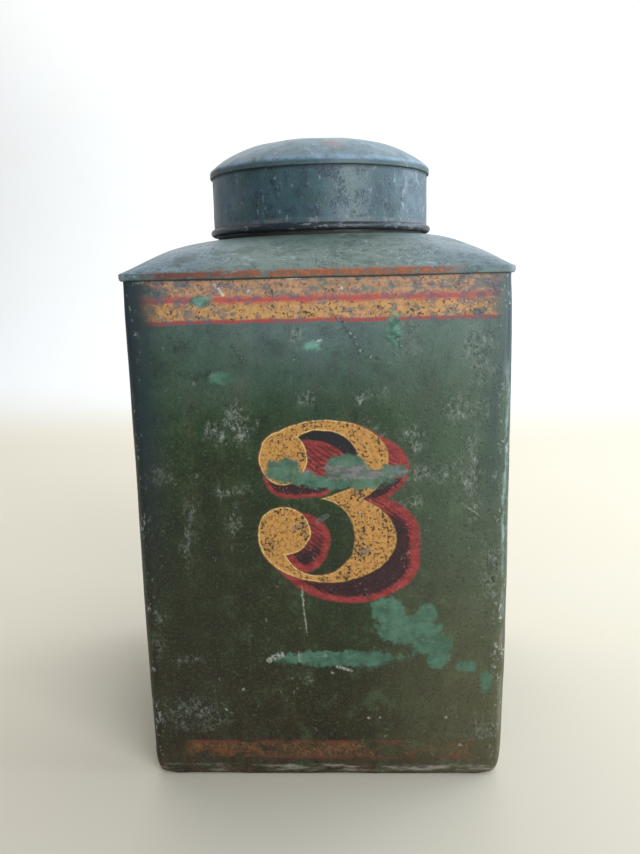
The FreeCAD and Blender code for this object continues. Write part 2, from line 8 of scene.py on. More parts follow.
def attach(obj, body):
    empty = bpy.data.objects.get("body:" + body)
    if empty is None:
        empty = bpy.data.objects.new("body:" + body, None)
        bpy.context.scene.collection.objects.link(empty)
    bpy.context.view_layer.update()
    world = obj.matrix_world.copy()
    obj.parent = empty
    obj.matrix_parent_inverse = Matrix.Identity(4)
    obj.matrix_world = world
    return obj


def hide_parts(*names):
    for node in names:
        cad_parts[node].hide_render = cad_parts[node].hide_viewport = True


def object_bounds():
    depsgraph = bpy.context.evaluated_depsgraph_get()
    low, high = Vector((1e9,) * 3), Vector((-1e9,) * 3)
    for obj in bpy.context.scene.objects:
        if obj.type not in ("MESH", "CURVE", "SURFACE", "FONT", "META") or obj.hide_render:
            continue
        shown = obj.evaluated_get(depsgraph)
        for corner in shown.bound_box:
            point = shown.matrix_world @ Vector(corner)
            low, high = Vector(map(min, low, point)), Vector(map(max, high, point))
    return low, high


# Painted tinplate grocer's canister. Lengths are in millimetres in the frame of the CAD model, and become
# metres when a mesh is written. Front panel at -Y, +Z up, origin at the centre of the foot. Colours are red,
# green and blue from 0 to 255 as seen on a display, and become linear when a shader socket is set.

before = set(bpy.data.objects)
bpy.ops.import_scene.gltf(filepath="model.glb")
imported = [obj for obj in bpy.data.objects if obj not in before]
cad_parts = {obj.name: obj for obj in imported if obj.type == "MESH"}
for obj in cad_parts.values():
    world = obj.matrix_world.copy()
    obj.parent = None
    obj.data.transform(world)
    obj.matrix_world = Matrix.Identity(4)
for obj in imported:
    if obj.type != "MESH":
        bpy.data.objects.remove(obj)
cad_low, cad_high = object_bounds()
MM = 0.001

# ---- dimensions shared with the CAD model
GAUGE = 0.45
FOLD = 0.53  # radius of a tight fold, at the middle of the sheet
HALF = 120.0  # from the axis to a wall's outer face
WALL = HALF - GAUGE / 2
HOOK = WALL + FOLD  # middle of the fold over which the shoulder hooks
HOOK_LEVEL = 343.745
LAP = 106.0  # from a side's middle to where its two sheets meet
LAP_WIDTH = 7.0
KERF = 0.1
CREASE = 10.0
SEAM = 338.0
SHOULDER_FOOT = 345.15
SHOULDER_RISE = 23.75
SHOULDER_POWER = 1.63
SHOULDER_DROP, SHOULDER_INSET = 0.405, 0.315  # from the raised sheet's upper face to its lower one
NECK = 77.0
NECK_HOLE = 76.4
COLLAR = 76.125
HEM = 0.265
BEAD_PLACE = 79.4
BEAD_LEVEL = 373.8
BEAD_MIDDLE = 2.475  # radius of the rolled sheet's middle round the wire
LID_BODY = 79.275
LID_TOP = 415.2
DOME_EDGE = 80.69
DOME_LEVEL = 417.1
DOME_FOOT = 413.255
CROWN_RADIUS = 351.0
CROWN_EDGE = 40.0
KNUCKLE_RADIUS = 71.5
RIM_MIDDLE = LID_BODY + 3 * FOLD
RIM_ROUND = 2.0


# ---- small numeric tools
def step(low, high, value):
    """0 below low, 1 above high and a smooth S between."""
    t = np.clip((value - low) / (high - low), 0.0, 1.0)
    return t * t * (3.0 - 2.0 * t)


def ripple(points, wavelength, seed, waves=7):
    """Smooth random unevenness of about -1 to 1 over an array of points."""
    random = np.random.RandomState(seed)
    total = np.zeros(points.shape[:-1])
    for _ in range(waves):
        direction = random.normal(size=3)
        direction /= np.linalg.norm(direction)
        length = wavelength * random.uniform(0.7, 1.5)
        phase = random.uniform(0, 2 * math.pi)
        total += np.sin(points @ direction * (2 * math.pi / length) + phase)
    return total / math.sqrt(waves) * 0.7


def dent(points, centre, radius, depth):
    """A round hollow that fades out at about the radius."""
    away = np.linalg.norm(points - np.array(centre), axis=-1)
    return -depth * np.exp(-((away / (0.6 * radius)) ** 2))


def arc_points(centre, radius, first, last, count):
    """Points on an arc in the (distance from the axis, height) plane, angles in degrees."""
    angles = np.radians(np.linspace(first, last, count))
    return [(centre[0] + radius * math.cos(a), centre[1] + radius * math.sin(a)) for a in angles]


def line_points(start, end, count):
    shares = np.linspace(0, 1, count)
    return [(start[0] + (end[0] - start[0]) * t, start[1] + (end[1] - start[1]) * t) for t in shares]


def chain(*runs):
    """Join runs of profile points, leaving out a point that repeats the one before."""
    joined = []
    for run in runs:
        for point in run:
            if not joined or math.dist(joined[-1], point) > 1e-6:
                joined.append(point)
    return np.array(joined)


def both_sides(profile, thickness=GAUGE):
    """The two faces of a sheet whose middle follows the profile; the first lies to the right of its path."""
    forward = np.gradient(profile, axis=0)
    forward /= np.linalg.norm(forward, axis=1)[:, None]
    right = np.stack([forward[:, 1], -forward[:, 0]], axis=1)
    return profile + right * thickness / 2, profile - right * thickness / 2


def within_frame(points):
    """Points kept just inside the box of the CAD model."""
    low, high = np.array(cad_low) / MM, np.array(cad_high) / MM
    return np.clip(points, low + 0.02, high - 0.02)


# ---- mesh building
def add_object(name, data):
    made = bpy.data.objects.new(name, data)
    bpy.context.scene.collection.objects.link(made)
    return made


def band(a, b):
    """Faces between two equally long rows of point numbers."""
    return [(a[i], a[i + 1], b[i + 1], b[i]) for i in range(len(a) - 1)]


def skin_faces(rows, columns, start, closed, capped):
    """Faces of a closed sheet whose outer grid comes first and whose inner grid follows.

    A first or last ring that is capped is filled on both skins, where a sheet runs on over the axis.
    """
    outer = [[start + row * columns + c % columns for c in range(columns + closed)] for row in range(rows)]
    inner = [[point + rows * columns for point in ring] for ring in outer]
    outside = [face for a, b in zip(outer, outer[1:]) for face in band(a, b)]
    inside = [face for a, b in zip(inner, inner[1:]) for face in band(b, a)]
    edges = []
    if capped[0]:
        outside.append(tuple(outer[0][columns - 1::-1]))
        inside.append(tuple(inner[0][:columns]))
    else:
        edges += band(inner[0], outer[0])
    if capped[1]:
        outside.append(tuple(outer[-1][:columns]))
        inside.append(tuple(inner[-1][columns - 1::-1]))
    else:
        edges += band(outer[-1], inner[-1])
    if not closed:
        for side, (a, b) in ((0, (outer, inner)), (-1, (inner, outer))):
            edges += band([ring[side] for ring in a], [ring[side] for ring in b])
    return outside, inside, edges


def write_piece(name, body, parts, materials, replaced, choose=None):
    """One mesh object from closed sheets, each given as (outer grid, inner grid, closed round).

    materials[0] goes on outer faces and materials[1] on inner faces and cut edges, unless choose, given
    the faces' centres and these numbers, returns others.
    """
    points, faces, kinds = [], [], []
    start = 0
    for outer, inner, closed in parts:
        rows, columns = outer.shape[:2]
        both = np.concatenate([outer.reshape(-1, 3), inner.reshape(-1, 3)])
        capped = [closed and bool(np.ptp(outer[row, :, :2]) < 1.0) for row in (0, -1)]
        outside, inside, edges = skin_faces(rows, columns, start, closed, capped)
        points.append(both)
        faces += outside + inside + edges
        kinds += [0] * len(outside) + [1] * (len(inside) + len(edges))
        start += len(both)
    points = np.concatenate(points)
    if choose is not None:
        kinds = choose(np.array([points[list(face)].mean(axis=0) for face in faces]), np.array(kinds))
    mesh = bpy.data.meshes.new(name)
    mesh.from_pydata((points * MM).tolist(), [], faces)
    for material in materials:
        mesh.materials.append(material)
    mesh.polygons.foreach_set("material_index", np.array(kinds, dtype=np.int32))
    mesh.shade_smooth()
    mesh.set_sharp_from_angle(angle=math.radians(50))
    mesh.validate()
    mesh.update()
    piece = add_object(name, mesh)
    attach(piece, body)
    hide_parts(*replaced)
    return piece


# ---- the body's plan at any height
LEFT_SPREAD, RIGHT_SPREAD, BACK_SPREAD = 1.6, 2.9, 2.0
SIDE_BOW, FACE_BOW = 1.1, 0.8
FOOT_CORNER, MIDDLE_CORNER, TOP_CORNER = 5.0, 9.0, 3.0
NOMINAL_FLAT = HALF - MIDDLE_CORNER
SIDE_NORMALS = np.array([(1.0, 0.0), (0.0, 1.0), (-1.0, 0.0), (0.0, -1.0)])
DENTS = (
    ((-118, -60, 58), 22, 0.9),
    ((121, 40, 120), 34, 0.9),
    ((35, 121, 210), 40, 1.1),
    ((-70, 121, 90), 26, 0.8),
    ((-121, 30, 240), 30, 0.8),
    ((70, -120, 262), 26, 0.5),
    ((-52, -120, 118), 30, 0.5),
)


def side_run(side, first, last, count):
    """Stations along a straight side, at distances from its middle."""
    return [(side, float(place), None) for place in np.linspace(first, last, count)]


def corner_run(side, count=9):
    """Stations round the corner that follows a side, anticlockwise seen from above."""
    return [(side, None, float(angle)) for angle in np.linspace(0, 90, count + 2)[1:-1]]


def plan(stations, reach, height):
    """Points of the body's skin for arrays of stations (columns) and of reach and height (rows by columns).

    The reach is the distance of the skin from the axis on a flat side, before bow and spread.
    """
    t = np.clip((height - CREASE) / (SEAM - CREASE), 0.0, 1.0)
    swell = 4 * t * (1 - t)
    corner = FOOT_CORNER * (1 - t) * (1 - 2 * t) + MIDDLE_CORNER * swell + TOP_CORNER * t * (2 * t - 1)
    flat = HALF - corner
    outset = reach - HALF
    result = np.zeros(reach.shape + (3,))
    for column, (side, place, angle) in enumerate(stations):
        normal, tangent = SIDE_NORMALS[side], SIDE_NORMALS[(side + 1) % 4]
        out, along = outset[:, column], flat[:, column]
        if angle is None:
            over = max(abs(place) - LAP, 0.0) / (NOMINAL_FLAT - LAP)
            shifted = math.copysign(min(abs(place), LAP), place) + math.copysign(over, place) * (along - LAP)
            bow = (FACE_BOW if side % 2 else SIDE_BOW) * swell[:, column]
            across = HALF + bow * (1 - np.clip(np.abs(shifted) / along, 0, 1) ** 2) + out
        else:
            radius = np.maximum(corner[:, column] + out, 0.4)
            across = along + radius * math.cos(math.radians(angle))
            shifted = along + radius * math.sin(math.radians(angle))
        result[:, column, :2] = across[:, None] * normal + shifted[:, None] * tangent
        result[:, column, 2] = height[:, column]
    front = step(60, -60, result[..., 1])
    right = BACK_SPREAD + (RIGHT_SPREAD - BACK_SPREAD) * front
    left = BACK_SPREAD + (LEFT_SPREAD - BACK_SPREAD) * front
    share = np.clip(result[..., 0] / HALF, -1, 1)
    result[..., 0] += swell * np.where(share > 0, right, left) * share
    return result


def wall_unevenness(points):
    """How far the wall's skin lies out of true, outward positive."""
    amount = 0.34 * ripple(points, 150, 3) + 0.13 * ripple(points, 47, 5) + 0.035 * ripple(points, 17, 8)
    for centre, radius, depth in DENTS:
        amount = amount + dent(points, centre, radius, depth)
    height = points[..., 2]
    inside_seams = step(CREASE, CREASE + 14, height) * step(SEAM + 1, SEAM - 16, height)
    return np.clip(amount, -1.4, 0.45) * inside_seams


def crush(points):
    """The knocked-in corners of the foot, and small dips along its edge."""
    x, y, z = np.moveaxis(points, -1, 0)
    corner = step(103, 120, np.abs(x)) * step(100, 120, np.abs(y))
    amount = corner * np.clip(1 - z / 17, 0, 1) ** 2
    edge = step(9, 2, z) * (1 - corner)
    moved = points.copy()
    moved[..., 0] -= np.sign(x) * 2.6 * amount
    moved[..., 1] -= np.sign(y) * 2.0 * amount
    moved[..., 2] += 1.2 * amount
    moved[..., 2] += 0.35 * edge * step(0.1, 1.0, ripple(points, 60, 12))
    return moved


def body_skin(stations, profile, inset=0.0):
    """A grid of the wall at a profile of (reach, height), pushed inward by the inset."""
    reach = np.repeat(profile[:, :1], len(stations), axis=1)
    height = np.repeat(profile[:, 1:], len(stations), axis=1)
    true = plan(stations, np.full_like(reach, HALF), height)
    return within_frame(crush(plan(stations, reach + wall_unevenness(true) - inset, height)))


# ---- shader graph helper
def tone(red, green, blue):
    """A linear colour from values of 0 to 255 as seen on a display."""
    shares = [value / 255 for value in (red, green, blue)]
    return tuple(s / 12.92 if s <= 0.04045 else ((s + 0.055) / 1.055) ** 2.4 for s in shares)


class Wire:
    """An output of a shader node, with arithmetic."""

    def __init__(self, graph, socket):
        self.graph, self.socket = graph, socket

    def __add__(self, other):
        return self.graph.math("ADD", self, other)

    def __sub__(self, other):
        return self.graph.math("SUBTRACT", self, other)

    def __rsub__(self, other):
        return self.graph.math("SUBTRACT", other, self)

    def __mul__(self, other):
        return self.graph.math("MULTIPLY", self, other)

    def __neg__(self):
        return self.graph.math("MULTIPLY", self, -1.0)

    def __abs__(self):
        return self.graph.math("ABSOLUTE", self)

    __radd__, __rmul__ = __add__, __mul__


class Graph:
    """A material's node tree, built by calls. Places are in millimetres."""

    def __init__(self, name):
        self.material = bpy.data.materials.new(name)
        self.material.use_nodes = True
        self.tree = self.material.node_tree
        self.tree.nodes.clear()
        place = self.node("ShaderNodeTexCoord")
        self.place = self.vector("SCALE", Wire(self, place.outputs["Object"]), scale=1 / MM)
        split = self.node("ShaderNodeSeparateXYZ")
        self.put(split.inputs[0], self.place)
        self.x, self.y, self.z = [Wire(self, socket) for socket in split.outputs]

    def node(self, kind, **settings):
        made = self.tree.nodes.new(kind)
        for key, value in settings.items():
            setattr(made, key, value)
        return made

    def put(self, socket, value):
        if isinstance(value, Wire):
            self.tree.links.new(value.socket, socket)
        elif socket.type == "RGBA":
            socket.default_value = (*tone(*value), 1.0)
        else:
            socket.default_value = value

    def math(self, operation, *values, clamp=False):
        made = self.node("ShaderNodeMath", operation=operation, use_clamp=clamp)
        for socket, value in zip(made.inputs, values):
            self.put(socket, value)
        return Wire(self, made.outputs[0])

    def vector(self, operation, first, second=None, scale=None):
        made = self.node("ShaderNodeVectorMath", operation=operation)
        self.put(made.inputs[0], first)
        if second is not None:
            self.put(made.inputs[1], second)
        if scale is not None:
            self.put(made.inputs["Scale"], scale)
        return Wire(self, made.outputs["Value" if operation == "LENGTH" else "Vector"])

    def bundle(self, *values):
        made = self.node("ShaderNodeCombineXYZ")
        for socket, value in zip(made.inputs, values):
            self.put(socket, value)
        return Wire(self, made.outputs[0])

    def noise(self, size, detail=3, roughness=0.55, stretch=None, shift=0, warp=0):
        """Noise of about 0 to 1 with features of a size in mm, longer along the axes that stretch names."""
        place = self.place
        if stretch is not None:
            place = self.vector("MULTIPLY", place, tuple(1 / s for s in stretch))
        if shift:
            place = self.vector("ADD", place, (shift, shift * 1.7, -shift * 0.6))
        made = self.node("ShaderNodeTexNoise")
        self.put(made.inputs["Vector"], place)
        made.inputs["Scale"].default_value = 1 / size
        made.inputs["Detail"].default_value = detail
        made.inputs["Roughness"].default_value = roughness
        made.inputs["Distortion"].default_value = warp
        return Wire(self, made.outputs[0])

    def ease(self, value, low, high):
        """0 at low, 1 at high, smooth between; low may be the larger."""
        made = self.node("ShaderNodeMapRange", interpolation_type="SMOOTHSTEP")
        self.put(made.inputs["Value"], value)
        limits = (low, high, 0, 1) if low <= high else (high, low, 1, 0)
        for key, limit in zip(("From Min", "From Max", "To Min", "To Max"), limits):
            made.inputs[key].default_value = limit
        return Wire(self, made.outputs["Result"])

    def between(self, value, low, high, soft):
        return self.ease(value, low - soft, low + soft) * self.ease(value, high + soft, high - soft)

    def mix(self, share, first, second):
        """Mix of two colours."""
        made = self.node("ShaderNodeMix", data_type="RGBA")
        self.put(made.inputs["Factor"], share)
        self.put(made.inputs[6], first)
        self.put(made.inputs[7], second)
        return Wire(self, made.outputs[2])

    def blend(self, share, first, second):
        """Mix of two numbers."""
        made = self.node("ShaderNodeMix", data_type="FLOAT")
        self.put(made.inputs["Factor"], share)
        self.put(made.inputs[2], first)
        self.put(made.inputs[3], second)
        return Wire(self, made.outputs[0])

    def ramp(self, value, *stops):
        made = self.node("ShaderNodeValToRGB")
        self.put(made.inputs[0], value)
        elements = made.color_ramp.elements
        while len(elements) < len(stops):
            elements.new(0.5)
        for element, (position, colour) in zip(elements, stops):
            element.position = position
            element.color = (*tone(*colour), 1.0)
        return Wire(self, made.outputs[0])

    def largest(self, result, *others):
        for value in others:
            result = self.math("MAXIMUM", result, value)
        return result

    def smallest(self, result, *others):
        for value in others:
            result = self.math("MINIMUM", result, value)
        return result

    def upward(self):
        """How far a face looks up, from -1 to 1."""
        made = self.node("ShaderNodeNewGeometry")
        split = self.node("ShaderNodeSeparateXYZ")
        self.tree.links.new(made.outputs["Normal"], split.inputs[0])
        return Wire(self, split.outputs[2])

    def finish(self, colour, roughness, relief, metallic=0, specular=0.5):
        """Relief is in mm."""
        shader = self.node("ShaderNodeBsdfPrincipled")
        self.put(shader.inputs["Base Color"], colour)
        self.put(shader.inputs["Roughness"], roughness)
        self.put(shader.inputs["Metallic"], metallic)
        shader.inputs["Specular IOR Level"].default_value = specular
        raised = self.node("ShaderNodeBump")
        raised.inputs["Strength"].default_value = 1.0
        raised.inputs["Distance"].default_value = MM
        self.put(raised.inputs["Height"], relief)
        self.tree.links.new(raised.outputs[0], shader.inputs["Normal"])
        output = self.node("ShaderNodeOutputMaterial")
        self.tree.links.new(shader.outputs[0], output.inputs["Surface"])
        return self.material


class Shape:
    """Signed distance in mm to a flat shape in the front panel's (x, z) plane, negative inside."""

    def __init__(self, graph):
        self.graph = graph
        wander = graph.noise(9, 2, shift=31)
        shake = graph.noise(2.2, 2, shift=57)
        self.x = graph.x + (wander - 0.5) * 2.2 + (shake - 0.5) * 0.5
        self.z = graph.z + (wander - 0.5) * -1.6 + (shake - 0.5) * 0.5

    def ellipse(self, x, z, wide, high, travel=None):
        """An ellipse, or the band that it sweeps when it travels by (dx, dz)."""
        g = self.graph
        across = g.math("MULTIPLY_ADD", self.x, 1 / wide, -x / wide)
        upward = g.math("MULTIPLY_ADD", self.z, 1 / high, -z / high)
        if travel is not None:
            run, rise = travel[0] / wide, travel[1] / high
            square = run * run + rise * rise
            share = g.math("MULTIPLY_ADD", across, run / square, upward * (rise / square))
            share = g.math("MULTIPLY", share, 1.0, clamp=True)
            across = g.math("MULTIPLY_ADD", share, -run, across)
            upward = g.math("MULTIPLY_ADD", share, -rise, upward)
        return (g.vector("LENGTH", g.bundle(across, upward, 0.0)) - 1.0) * min(wide, high)

    def patches(self, rows):
        """The nearest of ellipses, each a centre x, z and half sizes."""
        return self.graph.smallest(*[self.ellipse(*row) for row in rows])

    def strokes(self, rows):
        """The nearest of strokes, each a start x, z, an end x, z and a half width."""
        bands = [self.ellipse(x, z, wide, wide, (x_end - x, z_end - z)) for x, z, x_end, z_end, wide in rows]
        return self.graph.smallest(*bands)

    def right_of(self, x):
        return x - self.x

    def above(self, z):
        return z - self.z

    def below(self, z, slope=0):
        """What lies below a height, or below a line that climbs by the slope from that height at x = 0."""
        if not slope:
            return self.z - z
        return self.graph.math("MULTIPLY_ADD", self.x, -slope, self.z) - z


# ---- paint
# soot; also laid as painted shade in seams and under rims
SOOT_AND_SHADE = (12, 13, 13)
OLIVE = (44, 36, 20)
GREY_CHIP = (112, 118, 108)
# dust with a painted sheen of window and sky light; the cool one is for the dome
DUST_AND_SHEEN = (124, 144, 150)
COOL_DUST_AND_SHEEN = (106, 130, 146)
GOLD = (180, 130, 66)
GOLD_DARK = (126, 86, 44)
GOLD_PALE = (206, 182, 120)
RED_DEEP = (108, 30, 32)
MAROON = (50, 18, 22)
TEAL = (52, 84, 66)
TEAL_PALE = (74, 110, 90)
TIN = (128, 122, 112)
TIN_BROWN = (88, 74, 58)
RUST = (94, 52, 30)
SATIN = 0.34  # specular level of the body's varnish


class Paint:
    """Layers of colour, roughness and relief on a graph; each coat covers what is below by its mask."""

    def __init__(self, graph, colour, roughness, relief):
        self.graph = graph
        self.colour, self.roughness, self.relief = colour, roughness, relief

    def coat(self, mask, colour, roughness=None, relief=None):
        g = self.graph
        self.colour = g.mix(mask, self.colour, colour)
        if roughness is not None:
            self.roughness = g.blend(mask, self.roughness, roughness)
        if relief is not None:
            self.relief = g.math("MULTIPLY_ADD", mask, relief, self.relief)

    def wash(self, value, low, high, strength, colour, roughness=None, relief=None):
        """A coat that grows from nothing at low to its strength, a number or a mask, at high."""
        self.coat(self.graph.ease(value, low, high) * strength, colour, roughness, relief)

    def flakes(self, size, limit, colour, strength, seed, area=None, stretch=None, relief=0.06, crowd=26):
        """Small chips that gather in clusters; a lower limit (about 0.5 to 0.75) leaves more of them."""
        g = self.graph
        fine = g.noise(size, 4, 0.68, stretch=stretch, shift=seed)
        gather = g.noise(crowd, 3, 0.55, shift=seed + 40)
        share = strength if area is None else area * strength
        self.wash((gather - 0.5) * 0.55 + fine, limit, limit + 0.045, share, colour, 0.6, relief)

    def network(self, area, size, colour, strength, seed, relief=0.08):
        """Crinkled lines, as left by lifted varnish."""
        fold = self.graph.noise(size, 3, 0.6, shift=seed, warp=0.8)
        self.wash(abs(fold - 0.5), 0.07, 0.025, area * strength, colour, 0.5, relief)

    def finish(self, specular=0.5, metallic=0):
        return self.graph.finish(self.colour, self.roughness, self.relief, metallic, specular)


def green_ground(g, dust_and_sheen_tone=DUST_AND_SHEEN, extra_sheen=0):
    """Old green oil paint: mottled and grainy, with dust and a painted sheen of window light towards the top,
    and brown towards the foot.
    """
    blotch = g.noise(70, 3, 0.5)
    cloud = g.noise(15, 5, 0.65, shift=11)
    grain = g.noise(2.2, 4, 0.75, shift=5)
    smear = g.noise(6, 5, 0.62, stretch=(1, 1, 6), shift=23)
    fine = g.noise(1.1, 2, 0.6, shift=7)
    runs = g.noise(15, 3, 0.6, stretch=(1, 1, 5), shift=29)
    colour = g.ramp(
        g.z * (1 / 345) + (blotch - 0.5) * 0.4,
        (0, (44, 32, 16)),
        (0.15, (36, 31, 12)),
        (0.36, (28, 37, 13)),
        (0.6, (26, 46, 22)),
        (0.82, (36, 62, 38)),
        (1, (50, 74, 62)),
    )
    relief = grain * 0.1 + smear * 0.05 + cloud * 0.12 + fine * 0.1
    paint = Paint(g, colour, g.blend(grain, 0.20, 0.48), relief)
    paint.wash(cloud, 0.5, 0.7, 0.66, (58, 76, 50))
    paint.wash(smear, 0.5, 0.72, 0.5, OLIVE, 0.55)
    paint.wash(runs, 0.5, 0.66, 0.34, (60, 66, 42))
    paint.wash(runs, 0.47, 0.34, 0.4, (22, 20, 11))
    paint.wash(cloud, 0.47, 0.32, 0.62, (17, 24, 14))
    # painted window sheen with dust towards the top, painted shade on the left, dust and painted light on the
    # right
    facing = g.ease(g.y, -60, -118)
    sheen_share = (g.blend(facing, 0.22, 0.62) + extra_sheen) * g.blend(g.ease(g.x, -112, -50), 0.6, 1)
    paint.wash((blotch - 0.5) * 60 + g.z, 238, 345, g.blend(cloud, 0.2, 1) * sheen_share, dust_and_sheen_tone, 0.42)
    # painted shade: the front darkens towards the left, away from the light
    paint.wash(g.x, 30, -110, g.ease(g.z, 310, 110) * 0.6, (32, 24, 12), 0.5)
    # dust, with painted light that brightens the front towards the right
    dust_and_light = g.mix(g.ease(g.z, 40, 250), (104, 102, 72), (98, 116, 98))
    paint.wash(g.x, 8, 116, facing * g.blend(cloud, 0.5, 1) * 0.5, dust_and_light, 0.38)
    # pits and grain
    paint.wash(grain, 0.46, 0.34, g.blend(g.ease(g.z, 250, 300), 0.65, 0.3), SOOT_AND_SHADE, 0.62, -0.06)
    paint.wash(fine, 0.45, 0.32, 0.25, (16, 20, 14), 0.5)
    paint.wash(fine, 0.55, 0.7, 0.22, (84, 98, 78), 0.45)
    # painted sheen with dust on faces that look up
    paint.wash(g.upward(), 0.15, 0.9, g.blend(cloud, 0.3, 1) * (0.25 + extra_sheen), dust_and_sheen_tone, 0.5)
    paint.wash(grain, 0.52, 0.70, 0.4, (76, 86, 62), 0.46)
    paint.flakes(2.4, 0.715, (124, 132, 114), 0.5, 61, crowd=14)
    paint.flakes(4, 0.69, GREY_CHIP, 0.42, 171, relief=-0.06)
    return paint


def body_wear_and_shading(paint):
    """Wear that belongs to the body: rubbed upright corners and the scuffed, rusty foot, with painted shade
    beside the corners and a painted highlight and shadow on the foot.
    """
    g = paint.graph
    fray = g.noise(7, 5, 0.7, stretch=(1, 1, 3), shift=41)
    near_edge = g.smallest(abs(g.x), abs(g.y))
    leftward = g.ease(g.x, 40, -40)
    # painted cold shade beside the corners, strongest on the left
    edge_shade = g.ease(g.z, 120, 260) * g.blend(leftward, 0.2, 0.85)
    paint.wash(fray * 14 + near_edge, 98, 122, edge_shade, (28, 38, 46), 0.4)
    inset = g.between(near_edge, 106, 115, 5) * g.ease(g.z, 170, 280) * g.blend(leftward, 1, 0)
    paint.wash(fray, 0.36, 0.6, inset * 0.5, (44, 60, 72), 0.38)
    # corners rubbed pale, except near the top, with chips along them
    edge_tone = g.mix(g.ease(g.z, 90, 190), (112, 106, 98), (152, 168, 170))
    rubbed = g.ease(fray, 0.3, 0.5) * g.blend(leftward, 0.78, 0.15) * g.blend(g.ease(g.z, 270, 300), 1, 0.12)
    paint.wash(fray * 10 + near_edge, 121.9, 125.4, rubbed, edge_tone, 0.42, -0.05)
    # painted shade along the corners near the top
    paint.wash(near_edge, 114, 120, g.ease(g.z, 265, 300) * 0.75, (32, 42, 56), 0.42)
    chips = g.ease(near_edge, 110, 118)
    paint.flakes(2.4, 0.61, (170, 174, 168), 0.55, 431, chips, (1, 1, 1.6), -0.05, 14)
    # the foot: browned above; scuffed to the tin on its round, with a painted highlight there; rust under it,
    # darkened as painted shadow
    paint.wash(g.z, 30, 4, g.ease(fray, 0.42, 0.6) * 0.7, (62, 48, 32), 0.6)
    foot_streaks = g.noise(4, 5, 0.72, stretch=(7, 7, 1), shift=13)
    paint.wash(foot_streaks, 0.46, 0.62, g.between(g.z, 3, 8.2, 1.2) * 0.8, (132, 128, 116), 0.4, -0.03)
    paint.wash(foot_streaks, 0.3, 0.5, g.ease(g.z, 2.8, 1), (46, 18, 16), 0.7, 0.05)
    return paint


def pitted_gold(paint, mask, base=GOLD, worn=GOLD_DARK, seed=0, wear=0):
    """Bronze powder paint, mottled, with black pits where the varnish has broken through."""
    g = paint.graph
    mottle = g.noise(3.2, 5, 0.72, shift=101 + seed)
    pits = g.noise(2, 3, 0.62, shift=131 + seed)
    crowd = g.noise(11, 3, 0.6, shift=151 + seed)
    paint.coat(mask, g.mix(g.ease(mottle, 0.3, 0.58), worn, base), 0.48, 0.08)
    paint.wash(crowd, 0.56, 0.68, mask * 0.35, (84, 70, 44), 0.55)
    paint.wash((crowd - 0.5) * 0.34 + pits, 0.555 - wear, 0.6 - wear, mask * 0.88, (22, 22, 16), 0.6, -0.1)


def lichens(paint, shapes, patches, strength=1):
    """Crinkled grey patches where the varnish has lifted."""
    g = paint.graph
    ragged = (g.noise(9, 5, 0.75, shift=241) - 0.5) * 34
    area = g.ease(shapes.patches(patches) + ragged, 3, -5) * strength
    broken = g.noise(2.6, 4, 0.75, stretch=(1, 1, 1.4), shift=261, warp=0.6)
    paint.wash(broken, 0.46, 0.58, area * 0.62, (108, 114, 102), 0.5, 0.1)
    paint.wash(broken, 0.46, 0.38, area * 0.55, (26, 34, 24), 0.5, -0.08)
    paint.wash(broken, 0.6, 0.66, area * 0.55, (150, 156, 146), 0.5, 0.06)


def touch_up(paint, shapes, patches, rub=None, fresh=TEAL_PALE, strength=0.95):
    """Later patches of teal paint, worn thin; the rub is a distance to where they are rubbed grey."""
    g = paint.graph
    nearest = shapes.patches(patches) + (g.noise(6, 5, 0.7, shift=201) - 0.5) * 11
    thin = g.noise(4, 5, 0.75, stretch=(2.2, 1, 1), shift=231)
    cover = g.ease(nearest, 1.2, -1.2) * g.ease(thin + g.ease(nearest, 0, -5) * 0.3, 0.34, 0.44) * strength
    paint.coat(cover, g.mix(g.ease(g.noise(9, 5, 0.7, shift=211), 0.35, 0.65), TEAL, fresh), 0.42, 0.1)
    bare = g.noise(5, 5, 0.75, stretch=(2, 1, 1), shift=221)
    worn = bare if rub is None else g.ease(rub, 4, -4) * 0.17 + bare
    grey = g.mix(g.ease(bare, 0.4, 0.6), (66, 60, 62), (118, 112, 112))
    paint.wash(worn, 0.6, 0.66, cover * 0.9, grey, 0.5, -0.08)


def scratch(paint, shapes, marks, colour=(154, 158, 144), strength=0.72):
    """Pale ragged marks along strokes."""
    g = paint.graph
    frayed = (g.noise(2.2, 4, 0.8, shift=301) - 0.42) * 3.6
    specks = g.ease(g.noise(1.7, 3, 0.7, shift=311), 0.38, 0.54)
    paint.wash(shapes.strokes(marks) + frayed, 0.7, -0.5, specks * strength, colour, 0.6, 0.08)


def dark_chain(paint, shapes, runs):
    """Beaded strokes of lifted varnish with dark hollows and pale edges."""
    g = paint.graph
    spread = (g.noise(2.4, 3, 0.7, shift=541) - 0.5) * 12 + shapes.strokes(runs)
    broken = g.blend(g.ease(g.noise(5, 3, 0.6, shift=551), 0.4, 0.56), 0.3, 1)
    paint.wash(spread, 0.4, -0.5, broken * 0.6, (30, 38, 38), 0.35, 0.2)
    paint.wash(spread, -1.2, -1.8, broken * 0.7, (140, 150, 146), 0.4, 0.1)


